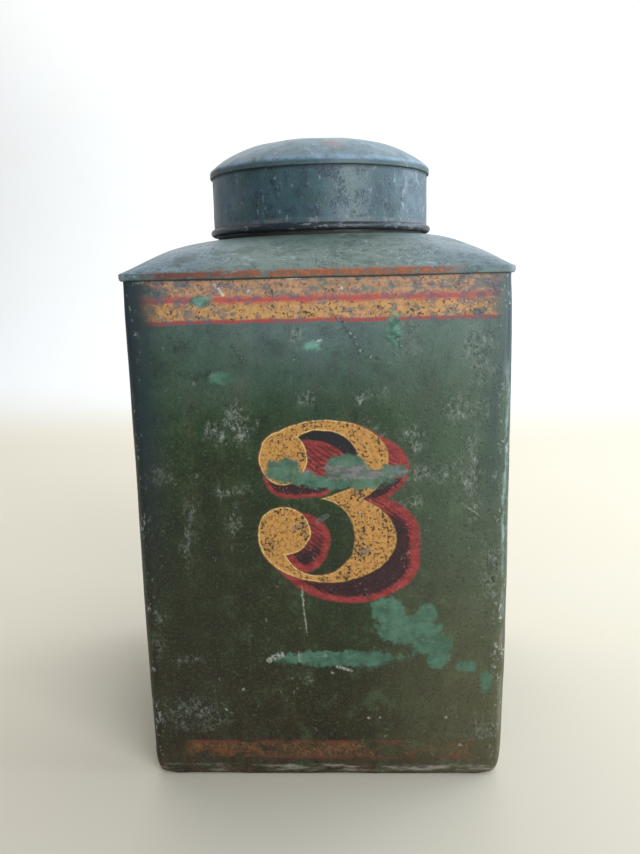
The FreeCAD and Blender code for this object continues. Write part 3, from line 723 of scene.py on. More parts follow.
# ---- front panel: the figure three and the paint round it
# Patches are ellipses (centre x, z, half sizes); marks and chains are strokes (start, end, half width).
LOW_BALL = (-24, 178, 17, 16.3)
LOW_BOWL = (4, 173, 45.2, 30.5)
HIGH_BALL = (-23.4, 227, 15.6, 18)
HIGH_BOWL = (3, 226.5, 41.3, 25.3)
LARGE_PATCH = ((43, 122, 12, 9), (69, 118, 7, 9), (57, 108, 22, 10), (72, 98, 14, 8), (77, 88, 8, 7))
MIDDLE_PATCHES = (
    (-24, 219.5, 12.5, 7.5), (-14, 214, 13, 5), (6, 211, 18, 5), (28, 213, 18, 7),
    (17, 221, 13, 8.5), (47, 217.5, 9, 4), (-60, 279, 8, 4),
) + LARGE_PATCH
MIDDLE_CHIPS = (
    (-52, 250, 10, 12), (-66, 245, 7, 7), (-9, 263, 6, 5), (30, 267, 8, 4), (60, 240, 8, 8),
    (92, 257, 14, 7), (76, 217, 24, 5), (-57, 184, 4, 8), (-58, 205, 9, 5), (-104, 216, 8, 5),
    (-87, 178, 3, 16), (60, 200, 6, 5), (97, 215, 6, 26), (104, 282, 10, 12), (110, 150, 6, 18),
)
GREY_MARKS = (
    (-84, 192, -87, 178, 0.8), (-87, 178, -88, 165, 1), (-18, 180, -15, 181.5, 2),
    (27, 163, 30, 165, 2), (-2, 185, 4, 188, 1.8), (-19, 226, -14, 225, 1.2), (45, 218, 52, 217, 2.2),
)
MIDDLE_MARKS = ((92, 195, 103, 187, 0.5), (-13.6, 139, -12.6, 124, 0.6), (25, 189, 26, 189.8, 0.9))
LOW_PATCHES = LARGE_PATCH + ((10, 88, 42, 5.6), (96, 82, 8, 4), (109, 70, 4, 8))
LOW_CHIPS = (
    (-110, 120, 7, 6), (-92, 88, 5, 3), (-88, 47, 22, 11), (106, 38, 13, 9), (-112, 96, 6, 10),
)
LOW_MARKS = (
    (-12.6, 124, -10.5, 105, 0.6), (-37, 87, -29, 91, 2.2), (-16.5, 92, -16, 86, 1.2),
    (9, 82, 18, 79, 1.1), (1, 91, 1.4, 89.5, 0.9), (5, 78, 5.6, 77.4, 0.9), (29, 44, 29.6, 44, 1),
    (37, 44.3, 37.3, 44.3, 0.8), (82, 44, 82.8, 43.6, 0.9), (-68, 50, -67.5, 50, 1.1),
    (-56, 65, -55.6, 65.4, 0.9), (92, 23, 92.6, 23, 1),
)
TOP_CHIPS = ((100, 294, 12, 14), (58, 305, 4, 10), (-12, 304, 5, 5))
TOP_CHAINS = (
    (10, 320, 23, 303, 1.2), (23, 303, 29, 292, 1.2), (29, 292, 37, 291, 1.2), (50, 304, 52, 298, 1.2),
    (100, 292, 104, 280, 1.2), (-13, 293, -18, 284, 1.2), (84, 262, 98, 254, 1.2), (-52, 300, -46, 290, 1.2),
)
TOP_PATCHES = ((48, 308, 4, 12), (-72, 327.5, 8, 3.2), (-2, 299, 4.5, 3))
TOP_MARKS = (
    (-62.5, 337.5, -60, 335, 0.9), (-59.5, 334, -57.5, 331, 0.9), (1, 301, 3, 302, 0.7),
    (-17, 340.2, -9, 340.6, 0.8), (-111, 339.4, -107, 339.8, 0.9), (-42, 333, -41.6, 333.3, 0.8),
    (16, 334, 16.3, 334, 0.8),
)


def figure_three(s):
    """Distance to a fat-faced figure three with ball ends, and to the two spaces inside it."""
    g = s.graph
    inner_low = s.ellipse(-2, 173.5, 24.3, 26.3)
    inner_high = s.ellipse(1, 226, 23.5, 19)
    spur = g.smallest(s.below(199.6, 0.37), s.right_of(21))
    bowl = g.largest(s.ellipse(*LOW_BOWL), g.smallest(s.right_of(0), s.below(168, -0.25)))
    neck = g.largest(s.ellipse(3, 226.5, 41.3, 34), s.below(226.5), s.right_of(0))
    neck = g.largest(neck, g.smallest(-inner_high, s.below(207)))
    low = g.smallest(g.largest(bowl, g.smallest(spur, s.below(190))), g.largest(neck, spur))
    arch = g.largest(s.ellipse(*HIGH_BOWL), -inner_high, s.above(226))
    balls = g.smallest(s.ellipse(*LOW_BALL), s.ellipse(*HIGH_BALL))
    return g.smallest(g.largest(low, -inner_low), arch, balls), inner_low, inner_high


def block_shade(s, inner_low):
    """Distance to the shade that the figure casts to the right and down."""
    g = s.graph
    right_high = g.largest(s.ellipse(*HIGH_BOWL, travel=(13, -7)), s.right_of(20))
    ball_high = g.smallest(
        s.ellipse(*HIGH_BALL, travel=(20, -8)),
        s.ellipse(*HIGH_BALL, travel=(2, -8.5)),
        s.ellipse(-21.4, 218.5, 15.6, 18, travel=(16, 0.5)),
        s.ellipse(3, 227, 16, 12),
    )
    outer_low = g.smallest(
        s.ellipse(*LOW_BOWL, travel=(15, -14.5)),
        s.ellipse(19, 174, 45.2, 30.5, travel=(0, -15.5)),
    )
    bowl_low = g.largest(outer_low, -inner_low, g.smallest(s.right_of(22), s.below(160)))
    ball_low = g.smallest(s.ellipse(*LOW_BALL, travel=(13, -6)), s.ellipse(-12, 170, 16.5, 20))
    return g.smallest(right_high, ball_high, bowl_low, g.largest(ball_low, inner_low))


def walls_plain():
    return body_wear_and_shading(green_ground(Graph("green_paint_sides"))).finish(SATIN)


def walls_middle():
    g = Graph("green_paint_numeral")
    paint = green_ground(g)
    s = Shape(g)
    lichens(paint, s, MIDDLE_CHIPS)
    gilt, inner_low, inner_high = figure_three(s)
    cast = block_shade(s, inner_low)
    frayed = g.noise(3, 5, 0.75, shift=19)
    # the red shade, hatched with maroon inside its outline and nearly black under the strokes
    brushed = g.noise(3, 4, 0.7, stretch=(2.6, 1, 1), shift=15)
    shaded = g.ease(cast, 1.2, -0.9)
    paint.coat(shaded, g.mix(g.ease(brushed, 0.34, 0.66), RED_DEEP, (144, 54, 50)), 0.42, 0.05)
    slant = s.x * 0.59 + s.z * 0.81
    hatch = g.math("SINE", slant * 2.2 + g.noise(7, 3, shift=17) * 9)
    paint.wash(hatch, 0, 0.9, shaded * g.ease(cast, -2.2, -4.6) * 0.75, MAROON, 0.5)
    low = g.ease(g.x * -0.36 + g.z + frayed * 12, 184, 170)
    under = g.ease((frayed - 0.5) * 5 + cast, -1.4, -2.8) * g.between(g.z, 199, 213, 2)
    core = g.largest(g.ease((frayed - 0.5) * 5 + cast, -3.8, -5.6) * low, under)
    dark = g.mix(g.ease(frayed, 0.46, 0.6), (18, 14, 16), (44, 20, 24))
    paint.coat(shaded * core * 0.92, dark, 0.5)
    lens = g.largest(inner_high, -s.ellipse(-8, 214, 30, 25))
    paint.wash(lens, 0.8, -0.8, g.ease(g.z, 220, 230) * g.ease(frayed, 0.2, 0.4), (20, 17, 20), 0.5)
    paint.flakes(1.8, 0.64, (150, 110, 104), 0.5, 321, shaded, crowd=12)
    # the gilt figure, its outline paler on the left
    pitted_gold(paint, g.ease(gilt, 0.55, -0.55))
    rim = g.between(gilt, -0.8, -0.2, 0.3) * g.blend(g.ease(g.z * -0.15 + g.x, 0, -34), 0.12, 0.8)
    paint.wash(frayed, 0.38, 0.52, rim, GOLD_PALE, 0.5)
    touch_up(paint, s, MIDDLE_PATCHES, rub=s.ellipse(20, 217, 32, 5.5))
    scratch(paint, s, GREY_MARKS, (94, 98, 98), 0.62)
    scratch(paint, s, MIDDLE_MARKS)
    return body_wear_and_shading(paint).finish(SATIN)


def walls_low():
    g = Graph("green_paint_lower")
    paint = green_ground(g)
    s = Shape(g)
    lichens(paint, s, LOW_CHIPS, 0.62)
    # the lower gilt band and its two red lines, nearly rubbed away
    keep = g.noise(9, 5, 0.7, stretch=(2.4, 1, 1), shift=401)
    ends = g.ease(g.x, -102, -88) * g.ease(g.x, 110, 92)
    left = g.ease(abs(g.x + 30) * -0.0011 + keep, 0.34, 0.46)
    band = g.between(s.z, 14, 25, 1.2) * ends * left * 0.62
    pitted_gold(paint, band, (126, 84, 46), (64, 40, 28), 7, 0.08)
    slope = g.ease(g.x, -20, -95) * -6 + s.z
    lines = g.largest(g.between(s.z, 24.4, 26.6, 0.7), g.between(slope, 12.4, 14.4, 0.6))
    paint.wash(keep, 0.4, 0.54, lines * ends * 0.6, (106, 46, 38), 0.5, 0.04)
    touch_up(paint, s, LOW_PATCHES, strength=0.84)
    scratch(paint, s, LOW_MARKS)
    return body_wear_and_shading(paint).finish(SATIN)


def walls_top():
    g = Graph("green_paint_band")
    paint = green_ground(g)
    s = Shape(g)
    keep = g.noise(10, 5, 0.68, stretch=(1.8, 1, 1), shift=501)
    worn = g.noise(4, 5, 0.75, stretch=(1.6, 1, 1), shift=521)
    ends = g.ease(keep * 22 + g.x, -104, -86) * g.ease(keep * 10 + g.x, 122, 114)
    lower = g.between(s.z, 315.5, 327, 0.8) * ends * g.ease(keep, 0.28, 0.38) * 0.95
    upper = g.between(s.z, 328.5, 340.8, 1.2) * ends * g.ease(keep, 0.32, 0.5) * 0.88
    pitted_gold(paint, lower, (186, 140, 88), (150, 106, 64), 3, -0.03)
    pitted_gold(paint, upper, (180, 136, 100), (140, 96, 68), 9, -0.035)
    # red lines under and between the two bands
    line_wear = g.noise(9, 5, 0.7, stretch=(2, 1, 1), shift=511)
    bleed = (line_wear - 0.5) * 5 + s.z
    for low, high, soft, bare, cover, red in (
        (313.6, 315.8, 1, 0.32, 0.85, (160, 52, 50)),
        (326, 330.2, 1.5, 0.3, 0.8, (172, 66, 62)),
    ):
        line = g.between(bleed, low, high, soft) * ends * cover
        paint.wash(line_wear, bare, 0.46, line, red, 0.45, 0.05)
    # a cold veil where the bands are worn through, stronger towards their ends
    thin = (g.ease(abs(g.x), 40, 110) + g.ease(keep, 0.5, 0.7)) * 0.09 + worn
    paint.wash(thin, 0.52, 0.62, ends * g.between(s.z, 313, 341, 1) * 0.66, (72, 84, 98), 0.45, -0.06)
    crinkled = g.between(g.z, 297, 312, 4) * g.ease(keep, 0.5, 0.6)
    paint.network(crinkled, 3, (40, 46, 50), 0.4, 531, -0.12)
    lichens(paint, s, TOP_CHIPS)
    touch_up(paint, s, TOP_PATCHES, fresh=(104, 146, 130))
    dark_chain(paint, s, TOP_CHAINS)
    scratch(paint, s, TOP_MARKS, (204, 206, 198))
    return body_wear_and_shading(paint).finish(SATIN)


# ---- paint of the shoulder and the lid, and bare metals
def shoulder_paint():
    g = Graph("green_paint_shoulder")
    # painted sheen of window light with dust, bluer towards the left and right ends
    dust_and_sheen_tone = g.mix(g.ease(abs(g.x), 30, 105), (116, 132, 126), (122, 142, 160))
    paint = green_ground(g, dust_and_sheen_tone, 0.3)
    wear = g.noise(11, 5, 0.68, stretch=(2, 1, 1), shift=601)
    paint.flakes(2.4, 0.63, (150, 164, 166), 0.45, 611, stretch=(2, 2, 1), crowd=30)
    paint.network(g.ease(wear, 0.48, 0.6), 3.4, (54, 66, 66), 0.6, 621, -0.12)
    paint.wash(wear, 0.5, 0.34, 0.6, (54, 66, 56), 0.5)
    paint.flakes(2, 0.6, (44, 54, 50), 0.5, 641, relief=-0.08, crowd=20)
    paint.flakes(2.6, 0.66, (158, 160, 142), 0.5, 651, crowd=16)
    # the orange line along the front edge, browner on the left and broken left of the middle
    rough = g.noise(3, 5, 0.75, stretch=(2, 1, 1), shift=631)
    ends = g.ease(wear * 30 + g.x, -96, -78) * g.ease(wear * 40 + g.x, 118, 92)
    gap = 1 - g.between(g.x, -34, -28, 2) * 0.8
    stripe = g.between((wear - 0.5) * 3 + g.z, 341.6, 346, 1) * g.ease(g.y, -114, -118) * ends * gap
    orange = g.mix(g.ease(rough, 0.38, 0.62), (98, 50, 28), (156, 80, 36))
    tint = g.mix(g.ease(wear * 60 + g.x, -60, 0), (92, 50, 38), orange)
    paint.wash(rough, 0.34, 0.5, stripe * 0.9, tint, 0.5, 0.06)
    # painted shade in the seam, and the edge rubbed bright at the corners
    paint.wash(g.z, 342.2, 340.8, 0.85, SOOT_AND_SHADE, 0.7)
    paint.wash(wear * 6 + g.smallest(abs(g.x), abs(g.y)), 119, 123, 0.6, (130, 138, 142), 0.4, -0.04)
    return paint.finish(0.45)


def lid_paint():
    g = Graph("green_paint_lid")
    # a blue painted sheen with dust
    paint = green_ground(g, (72, 98, 124), 0.34)
    belt = g.between(g.z, 376, 413, 2)
    streak = g.noise(9, 6, 0.7, stretch=(1, 1, 1.3), shift=701)
    paint.wash(streak, 0.38, 0.62, belt * 0.5, (44, 62, 80), 0.34)
    paint.wash(g.noise(20, 5, 0.65, shift=711), 0.46, 0.62, belt * 0.5, (44, 76, 66), 0.32)
    paint.network(belt * g.ease(streak, 0.48, 0.6), 3.4, (20, 28, 32), 0.6, 721, -0.16)
    paint.flakes(3, 0.62, (124, 138, 144), 0.55, 731, belt, (1, 1, 1.6), -0.08, 16)
    # painted highlight: a blue sheen on the hoop's left and right sides
    paint.wash(abs(g.x), 50, 72, belt * g.blend(streak, 0.05, 0.4), (96, 120, 142), 0.36)
    rightward = belt * g.ease(g.x, 30, 60)
    paint.flakes(3.2, 0.59, (136, 150, 156), 0.55, 751, rightward, (1, 1, 2.2), -0.08, 13)
    foot = g.between(streak * 4 + g.z, 376.6, 381.5, 0.8)
    paint.wash(streak, 0.38, 0.58, foot * 0.5, (112, 110, 110), 0.55, -0.05)
    # the dark rolled edge with its chips, and painted shade under it and under the dome's rim
    paint.wash(g.z, 377, 375.8, 0.9, (26, 32, 40), 0.36)
    paint.flakes(2, 0.6, (128, 132, 134), 0.5, 741, g.ease(g.z, 377.4, 376), (3, 3, 1))
    paint.wash(g.z, 372.6, 371.6, 0.6, SOOT_AND_SHADE, 0.6)
    paint.wash(g.z, 412.9, 412.4, g.ease(g.z, 409.6, 412.2) * 0.6, SOOT_AND_SHADE, 0.6)
    return paint.finish(0.42)


def dome_paint():
    g = Graph("green_paint_dome")
    # a cool painted sheen with dust
    paint = green_ground(g, COOL_DUST_AND_SHEEN, 0.3)
    mottle = g.noise(9, 6, 0.7, shift=801)
    paint.wash(mottle, 0.5, 0.36, 0.6, (66, 82, 86), 0.5, -0.05)
    paint.wash(mottle, 0.54, 0.7, 0.36, (136, 158, 172), 0.46)
    paint.flakes(2.2, 0.65, (160, 174, 184), 0.5, 811, stretch=(1.8, 1.8, 1), crowd=14)
    away = g.vector("LENGTH", g.vector("SUBTRACT", g.place, (12, -62, 425)))
    paint.wash(mottle * 14 + away, 20, 9, 0.45, (150, 112, 106), 0.55)
    # the rim: painted shade below, a painted highlight on its round, painted shade at its foot
    paint.wash(mottle, 0.3, 0.6, g.between(g.z, 413.2, 415.6, 0.6) * 0.6, (54, 66, 76), 0.4)
    paint.wash(mottle, 0.3, 0.6, g.between(g.z, 415.8, 418.4, 0.9) * 0.5, (140, 164, 192), 0.34)
    paint.wash(g.z, 413.4, 412.4, 0.55, SOOT_AND_SHADE, 0.6)
    return paint.finish(0.3)


def bare_tin(name, brown):
    g = Graph(name)
    cloud = g.noise(22, 5, 0.6, shift=901)
    grain = g.noise(1.6, 4, 0.7, shift=911)
    drawn = g.noise(5, 4, 0.6, stretch=(1, 1, 8), shift=921)
    stain = cloud * 0.6 + grain * 0.4
    paint = Paint(g, g.mix(g.ease(cloud, 0.3, 0.7), TIN, TIN_BROWN), 0.42, grain * 0.03 + drawn * 0.03)
    paint.wash(drawn, 0.55, 0.75, brown, TIN_BROWN, 0.55)
    paint.wash(stain, 0.58, 0.68, brown, RUST, 0.75, 0.05)
    return paint.finish(metallic=g.ease(stain, 0.62, 0.5) * 0.7)


def soft_solder():
    g = Graph("soft_solder")
    lump = g.noise(4, 3, 0.5, shift=941)
    grain = g.noise(0.9, 3, 0.6, shift=951)
    paint = Paint(g, g.mix(lump, (92, 92, 90), (138, 138, 134)), 0.46, lump * 0.25 + grain * 0.03)
    paint.wash(grain, 0.58, 0.7, 0.6, (66, 62, 56), 0.6)
    return paint.finish(metallic=0.75)


def rusty_iron():
    g = Graph("rusty_wire")
    cloud = g.noise(6, 5, 0.65, shift=961)
    grain = g.noise(0.8, 4, 0.7, shift=971)
    paint = Paint(g, g.mix(g.ease(cloud, 0.35, 0.65), (58, 46, 40), RUST), 0.7, grain * 0.12)
    paint.wash(grain, 0.6, 0.7, 0.6, (120, 70, 38), 0.85)
    return paint.finish(metallic=0.3)


inside_tin = bare_tin("bare_tinplate_inside", 0.6)
solder_metal = soft_solder()

# ---- walls
PLAIN, INSIDE, TOP, MIDDLE, LOW = range(5)  # places in the front sheet's list of materials
BAND_ZONE, NUMERAL_ZONE = 288, 124  # heights at which the front's paint changes


def wall_profile():
    """Middle of the sheet from the folded-in edge, under the foot, up the wall and over the hooked seam."""
    toe, toe_place, foot, low = 0.775, 117.0, 2.275, GAUGE / 2
    return chain(
        line_points((toe_place - toe, 6.0), (toe_place - toe, toe + low), 4),
        arc_points((toe_place, toe + low), toe, 180, 270, 5),
        arc_points((WALL - foot, foot + low), foot, 270, 360, 9),
        line_points((WALL, foot + low), (WALL, CREASE), 6),
        line_points((WALL, CREASE), (WALL, SEAM), 108),
        line_points((WALL, SEAM), (WALL, HOOK_LEVEL), 4),
        arc_points((HOOK, HOOK_LEVEL), FOLD, 180, 0, 7),
        line_points((HOOK + FOLD, HOOK_LEVEL), (HOOK + FOLD, 341.48), 3),
    )


def front_zone(centres, kinds):
    """Which paint a face of the front sheet gets."""
    y, z = centres.T[1:]
    zone = np.where(z > BAND_ZONE, TOP, np.where(z > NUMERAL_ZONE, MIDDLE, LOW))
    return np.where(kinds == INSIDE, INSIDE, np.where(y < -112, zone, PLAIN))


def make_walls():
    """Two sheets of two sides each, their columns anticlockwise seen from above, and the lap tongues."""
    sheets = []
    for side, start, end in ((2, -LAP, -LAP), (0, KERF - LAP, -LAP - KERF)):
        stations = side_run(side, start, NOMINAL_FLAT, 76) + corner_run(side)
        stations += side_run(side + 1, -NOMINAL_FLAT, NOMINAL_FLAT, 80) + corner_run(side + 1)
        stations += side_run((side + 2) % 4, -NOMINAL_FLAT, end, 3)
        outer, inner = [body_skin(stations, face) for face in both_sides(wall_profile())]
        sheets.append((outer, inner, False))
    tongue = chain(line_points((WALL, CREASE + 2), (WALL, SEAM - 2), 108))
    for side, first, last in ((0, -LAP - LAP_WIDTH + 2.2, -LAP + 0.8), (2, -LAP - 0.8, -LAP + LAP_WIDTH)):
        stations = side_run(side, first, last, 4)
        outer, inner = [body_skin(stations, face, GAUGE + 0.08) for face in both_sides(tongue)]
        sheets.append((outer, inner, False))
    materials = [walls_plain(), inside_tin, walls_top(), walls_middle(), walls_low()]
    write_piece(
        "wall_sheet_front", "canister", sheets[:1], materials,
        ["wall_front_left"], front_zone,
    )
    write_piece(
        "wall_sheet_back", "canister", sheets[1:], materials[:2],
        ["wall_back_right"],
    )


make_walls()

# ---- shoulder
FLAT_COLUMNS, ARC_COLUMNS = 34, 9
FLAT_SHARE = 0.972  # share of an eighth of the rim's outline that its flat columns take


def shoulder_ring(reach, corner, height, share=0.0):
    """One level of a rounded square, its columns sliding to even spacing as the share grows.

    The eighth of the outline from a side's middle to the corner's diagonal is repeated by symmetry.
    """
    flat = reach - corner
    total = flat + corner * math.pi / 4
    at_rim = np.concatenate([
        np.linspace(0, 1, FLAT_COLUMNS) * FLAT_SHARE,
        FLAT_SHARE + (1 - FLAT_SHARE) * np.linspace(0, 1, ARC_COLUMNS + 1)[1:],
    ])
    even = np.linspace(0, 1, FLAT_COLUMNS + ARC_COLUMNS)
    along = ((1 - share) * at_rim + share * even) * total
    angle = np.maximum(along - flat, 0) / max(corner, 1e-6)
    across = np.where(angle > 0, flat + corner * np.cos(angle), reach)
    up = np.minimum(along, flat) + corner * np.sin(angle)
    eighth = np.stack([across, up], axis=1)
    quarter = np.concatenate([eighth, eighth[::-1, ::-1][1:]])[:-1]
    turns = [(math.cos(side * math.pi / 2), math.sin(side * math.pi / 2)) for side in range(4)]
    ring = np.concatenate([quarter @ np.array([[c, s], [-s, c]]) for c, s in turns])
    return np.column_stack([ring, np.full(len(ring), height)])


def shoulder_unevenness(points):
    """The raised sheet's waves, its lean at the neck, and the spread and wavy edge of its hooked rim."""
    x, y, z = np.moveaxis(points, -1, 0)
    lift = 0.35 * ripple(points, 90, 21) + 0.12 * ripple(points, 30, 22)
    lean = 0.7 * np.clip(x / 80, -1, 1) * step(358, 367, z)
    ears = step(112, 120, np.abs(x)) * step(112, 120, np.abs(y)) * step(339, 343, z)
    moved = points.copy()
    moved[..., 0] += np.sign(x) * 1.1 * ears
    moved[..., 1] += np.sign(y) * 0.15 * ripple(points, 55, 24) * step(349, 346, z)
    moved[..., 2] += step(346, 352, z) * (lift * step(369.5, 364, z) + lean)
    moved[..., 2] += 0.3 * ripple(points, 70, 25) * step(347, 344, z)
    return within_frame(moved)


def make_shoulder():
    level, rim, rim_corner = 341.355, 121.2, 4.2  # height of the hook's round, and where the sheet rises
    fold = chain(
        line_points((HOOK, 343.6), (HOOK, level), 3),
        arc_points((HOOK + FOLD, level), FOLD, 180, 360, 7),
        line_points((HOOK + 2 * FOLD, level), (HOOK + 2 * FOLD, 344.3), 4),
    )
    corner_inset = HALF - TOP_CORNER
    rims = [[shoulder_ring(reach, reach - corner_inset, z) for reach, z in face] for face in both_sides(fold)]
    rims[0].append(shoulder_ring(121.47, 4.47, 344.85))
    rims[1].append(shoulder_ring(121.08, 4.08, 344.5))
    for t in 1 - (1 - np.linspace(0, 1, 34)) ** 1.15:
        reach = rim + (NECK - rim) * t
        corner = rim_corner + (NECK - rim_corner) * t
        height = SHOULDER_FOOT + SHOULDER_RISE * (1 - (1 - t) ** SHOULDER_POWER)
        for face, (inset, drop) in enumerate(((0.0, 0.0), (SHOULDER_INSET, SHOULDER_DROP))):
            rims[face].append(shoulder_ring(reach - inset, corner - inset, height - drop, t))
    for face, drop in enumerate((0.0, SHOULDER_DROP)):
        rims[face].append(shoulder_ring(NECK_HOLE, NECK_HOLE, SHOULDER_FOOT + SHOULDER_RISE - drop, 1.0))
    outer, inner = [shoulder_unevenness(np.stack(face)) for face in rims]
    write_piece(
        "shoulder_sheet", "canister", [(outer, inner, True)],
        [shoulder_paint(), inside_tin], ["shoulder"],
    )


make_shoulder()


# ---- bottom plate and the solder round it
def make_foot():
    """Both follow the crushed corners of the foot."""
    half, corner, top, skirt, bend = 119.5, 4.5, 8.5, 2.8, 0.9
    grids = []
    for deep in (0.0, GAUGE):
        profile = chain(
            [(half - deep, skirt)],
            arc_points((half - bend, top - bend), bend - deep, 0, 90, 6),
            line_points((half - bend, top - deep), (0.02, top - deep), 34),
        )
        rings = [shoulder_ring(reach, max(corner + reach - half, 0.01), height) for reach, height in profile]
        grid = np.stack(rings)
        inside = step(118.0, 112.0, np.maximum(np.abs(grid[..., 0]), np.abs(grid[..., 1])))
        grid[..., 2] += inside * (0.3 * ripple(grid, 90, 61) + 0.1 * ripple(grid, 25, 62))
        grids.append(crush(grid))
    write_piece(
        "bottom_sheet", "canister", [(grids[0], grids[1], True)],
        [inside_tin, bare_tin("bare_tinplate_bottom", 0.7)], ["bottom_plate"],
    )
    sides = []
    for reach, corner in ((119.0, 4.0), (116.5, 1.5)):
        rings = [shoulder_ring(reach, corner, height) for height in np.linspace(1.2, 4.0, 4)]
        sides.append(crush(np.stack(rings)))
    write_piece(
        "foot_solder_ring", "canister", [(sides[0], sides[1], True)],
        [solder_metal, solder_metal], ["foot_solder"],
    )


make_foot()


# ---- turned pieces: collar, lid hoop, dome
def round_axis(radius, angle, height):
    grids = np.broadcast_arrays(radius * np.cos(angle), radius * np.sin(angle), height)
    return np.stack(grids, axis=-1)


def turned(profile, thickness, segments, wander):
    """Both faces of a sheet turned about the axis.

    wander(angle, height, radius), given for the middle of the sheet, returns shifts of radius and height.
    """
    around = np.linspace(0, 2 * math.pi, segments, endpoint=False)
    angle, height, radius = np.broadcast_arrays(around, profile[:, 1:], profile[:, :1])
    out, up = wander(angle, height, radius)
    grids = []
    for face in both_sides(profile, thickness):
        radius = np.maximum(face[:, :1] + out, 0.001)
        grids.append(within_frame(round_axis(radius, angle, face[:, 1:] + up)))
    return grids[0], grids[1], True


def make_collar():
    """The ring that the lid slips over: its flange under the shoulder, its wall and its hem."""
    flange, level, top = 367.325, 367.775, 419.31
    profile = chain(
        line_points((79.4, flange), (COLLAR + 0.675, flange), 4),
        arc_points((COLLAR + 0.45, level), level - flange, 270, 180, 4),
        line_points((COLLAR, level), (COLLAR, top), 26),
        arc_points((COLLAR - HEM, top), HEM, 0, 180, 6),
        line_points((COLLAR - 2 * HEM, top), (COLLAR - 2 * HEM, 413.8), 4),
    )

    def wander(angle, height, radius):
        return 0.05 * np.sin(3 * angle + 0.6), 0.0

    write_piece(
        "neck_collar_sheet", "canister", [turned(profile, 0.40, 180, wander)],
        [bare_tin("bare_tinplate_collar", 0.45), inside_tin], ["neck_collar"],
    )


LID_DENTS = (((-60, -53, 396), 12, 0.8), ((30, -74, 392), 10, 0.5), ((70, 38, 394), 14, 0.9))
DOME_DENTS = (((-34, -46, 430), 16, 0.7), ((30, 20, 436), 20, 0.8))


def make_hoop():
    """The lid's upright sheet, from the edge rolled round the wire to the fold under the dome's rim."""
    bead = (BEAD_PLACE, BEAD_LEVEL)
    profile = chain(
        arc_points(bead, BEAD_MIDDLE, 75, -180, 30)[:-1],
        arc_points(bead, BEAD_MIDDLE, 180, 95, 8),
        line_points((LID_BODY, 377.4), (LID_BODY, LID_TOP), 26),
        arc_points((LID_BODY + FOLD, LID_TOP + 0.2), FOLD, 180, 0, 7),
        line_points((LID_BODY + 2 * FOLD, LID_TOP), (LID_BODY + 2 * FOLD, 413.4), 3),
    )

    def wander(angle, height, radius):
        belt = step(378, 386, height) * step(411, 402, height)
        around = round_axis(80, angle, height)
        shift = belt * (0.35 * ripple(around, 60, 31) + 0.1 * ripple(around, 18, 32))
        for centre, size, depth in LID_DENTS:
            shift = shift + belt * dent(around, centre, size, depth)
        return shift, 0.12 * np.sin(2 * angle + 1.0) * step(380, 376, height)

    def bead_zone(centres, kinds):
        """The roll shows the inner side of the sheet, and that is painted too."""
        away = np.hypot(np.hypot(centres[:, 0], centres[:, 1]) - BEAD_PLACE, centres[:, 2] - BEAD_LEVEL)
        return np.where((away > BEAD_MIDDLE) & (centres[:, 2] < 376.6), PLAIN, kinds)

    write_piece(
        "lid_hoop", "lid", [turned(profile, GAUGE, 216, wander)],
        [lid_paint(), inside_tin], ["lid_band"], bead_zone,
    )


def make_dome():
    """A shallow crown, a tighter knuckle and a rounded rim, folded up inside the hoop's fold."""
    crown_sine = CROWN_EDGE / CROWN_RADIUS
    crown_angle = math.asin(crown_sine)
    end_angle = math.asin(crown_sine + (DOME_EDGE - CROWN_EDGE) / KNUCKLE_RADIUS)
    crown_level = DOME_LEVEL + KNUCKLE_RADIUS * (math.cos(crown_angle) - math.cos(end_angle))
    crown_centre = (0.0, crown_level - CROWN_RADIUS * math.cos(crown_angle))
    knuckle_centre = (
        CROWN_EDGE - KNUCKLE_RADIUS * crown_sine,
        crown_level - KNUCKLE_RADIUS * math.cos(crown_angle),
    )
    knuckle_middle = KNUCKLE_RADIUS - GAUGE / 2
    rim_start = RIM_MIDDLE - RIM_ROUND * (1 - math.sin(end_angle))
    round_angle = math.asin((rim_start - knuckle_centre[0]) / knuckle_middle)
    round_level = knuckle_centre[1] + (knuckle_middle - RIM_ROUND) * math.cos(round_angle)
    shallow, steep = 90 - math.degrees(crown_angle), 90 - math.degrees(round_angle)
    profile = chain(
        arc_points(crown_centre, CROWN_RADIUS - GAUGE / 2, 89.97, shallow, 14),
        arc_points(knuckle_centre, knuckle_middle, shallow, steep, 26),
        arc_points((RIM_MIDDLE - RIM_ROUND, round_level), RIM_ROUND, steep, 0, 9),
        line_points((RIM_MIDDLE, round_level - 0.2), (RIM_MIDDLE, DOME_FOOT), 5),
        arc_points((RIM_MIDDLE - FOLD, DOME_FOOT), FOLD, 0, -180, 7),
        line_points((RIM_MIDDLE - 2 * FOLD, DOME_FOOT), (RIM_MIDDLE - 2 * FOLD, 415.9), 3),
    )

    def wander(angle, height, radius):
        around = round_axis(radius, angle, height)
        free = step(80.2, 70.0, radius)
        lift = free * (0.4 * ripple(around, 70, 41) + 0.12 * ripple(around, 24, 42))
        lift = lift * step(2.0, 14.0, radius) - 0.35
        for centre, size, depth in DOME_DENTS:
            lift = lift + free * dent(around, centre, size, depth)
        return 0.0, lift * free

    inner, outer, closed = turned(profile, GAUGE, 216, wander)
    write_piece(
        "lid_dome_sheet", "lid", [(outer, inner, closed)],
        [dome_paint(), inside_tin], ["lid_dome"],
    )


make_collar()
make_hoop()
make_dome()

# ---- finishes of the CAD nodes that stay
rusty_wire = rusty_iron()
for name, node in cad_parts.items():
    if not node.hide_render:
        for slot in node.material_slots:
            slot.material = rusty_wire if name == "lid_wire" else solder_metal


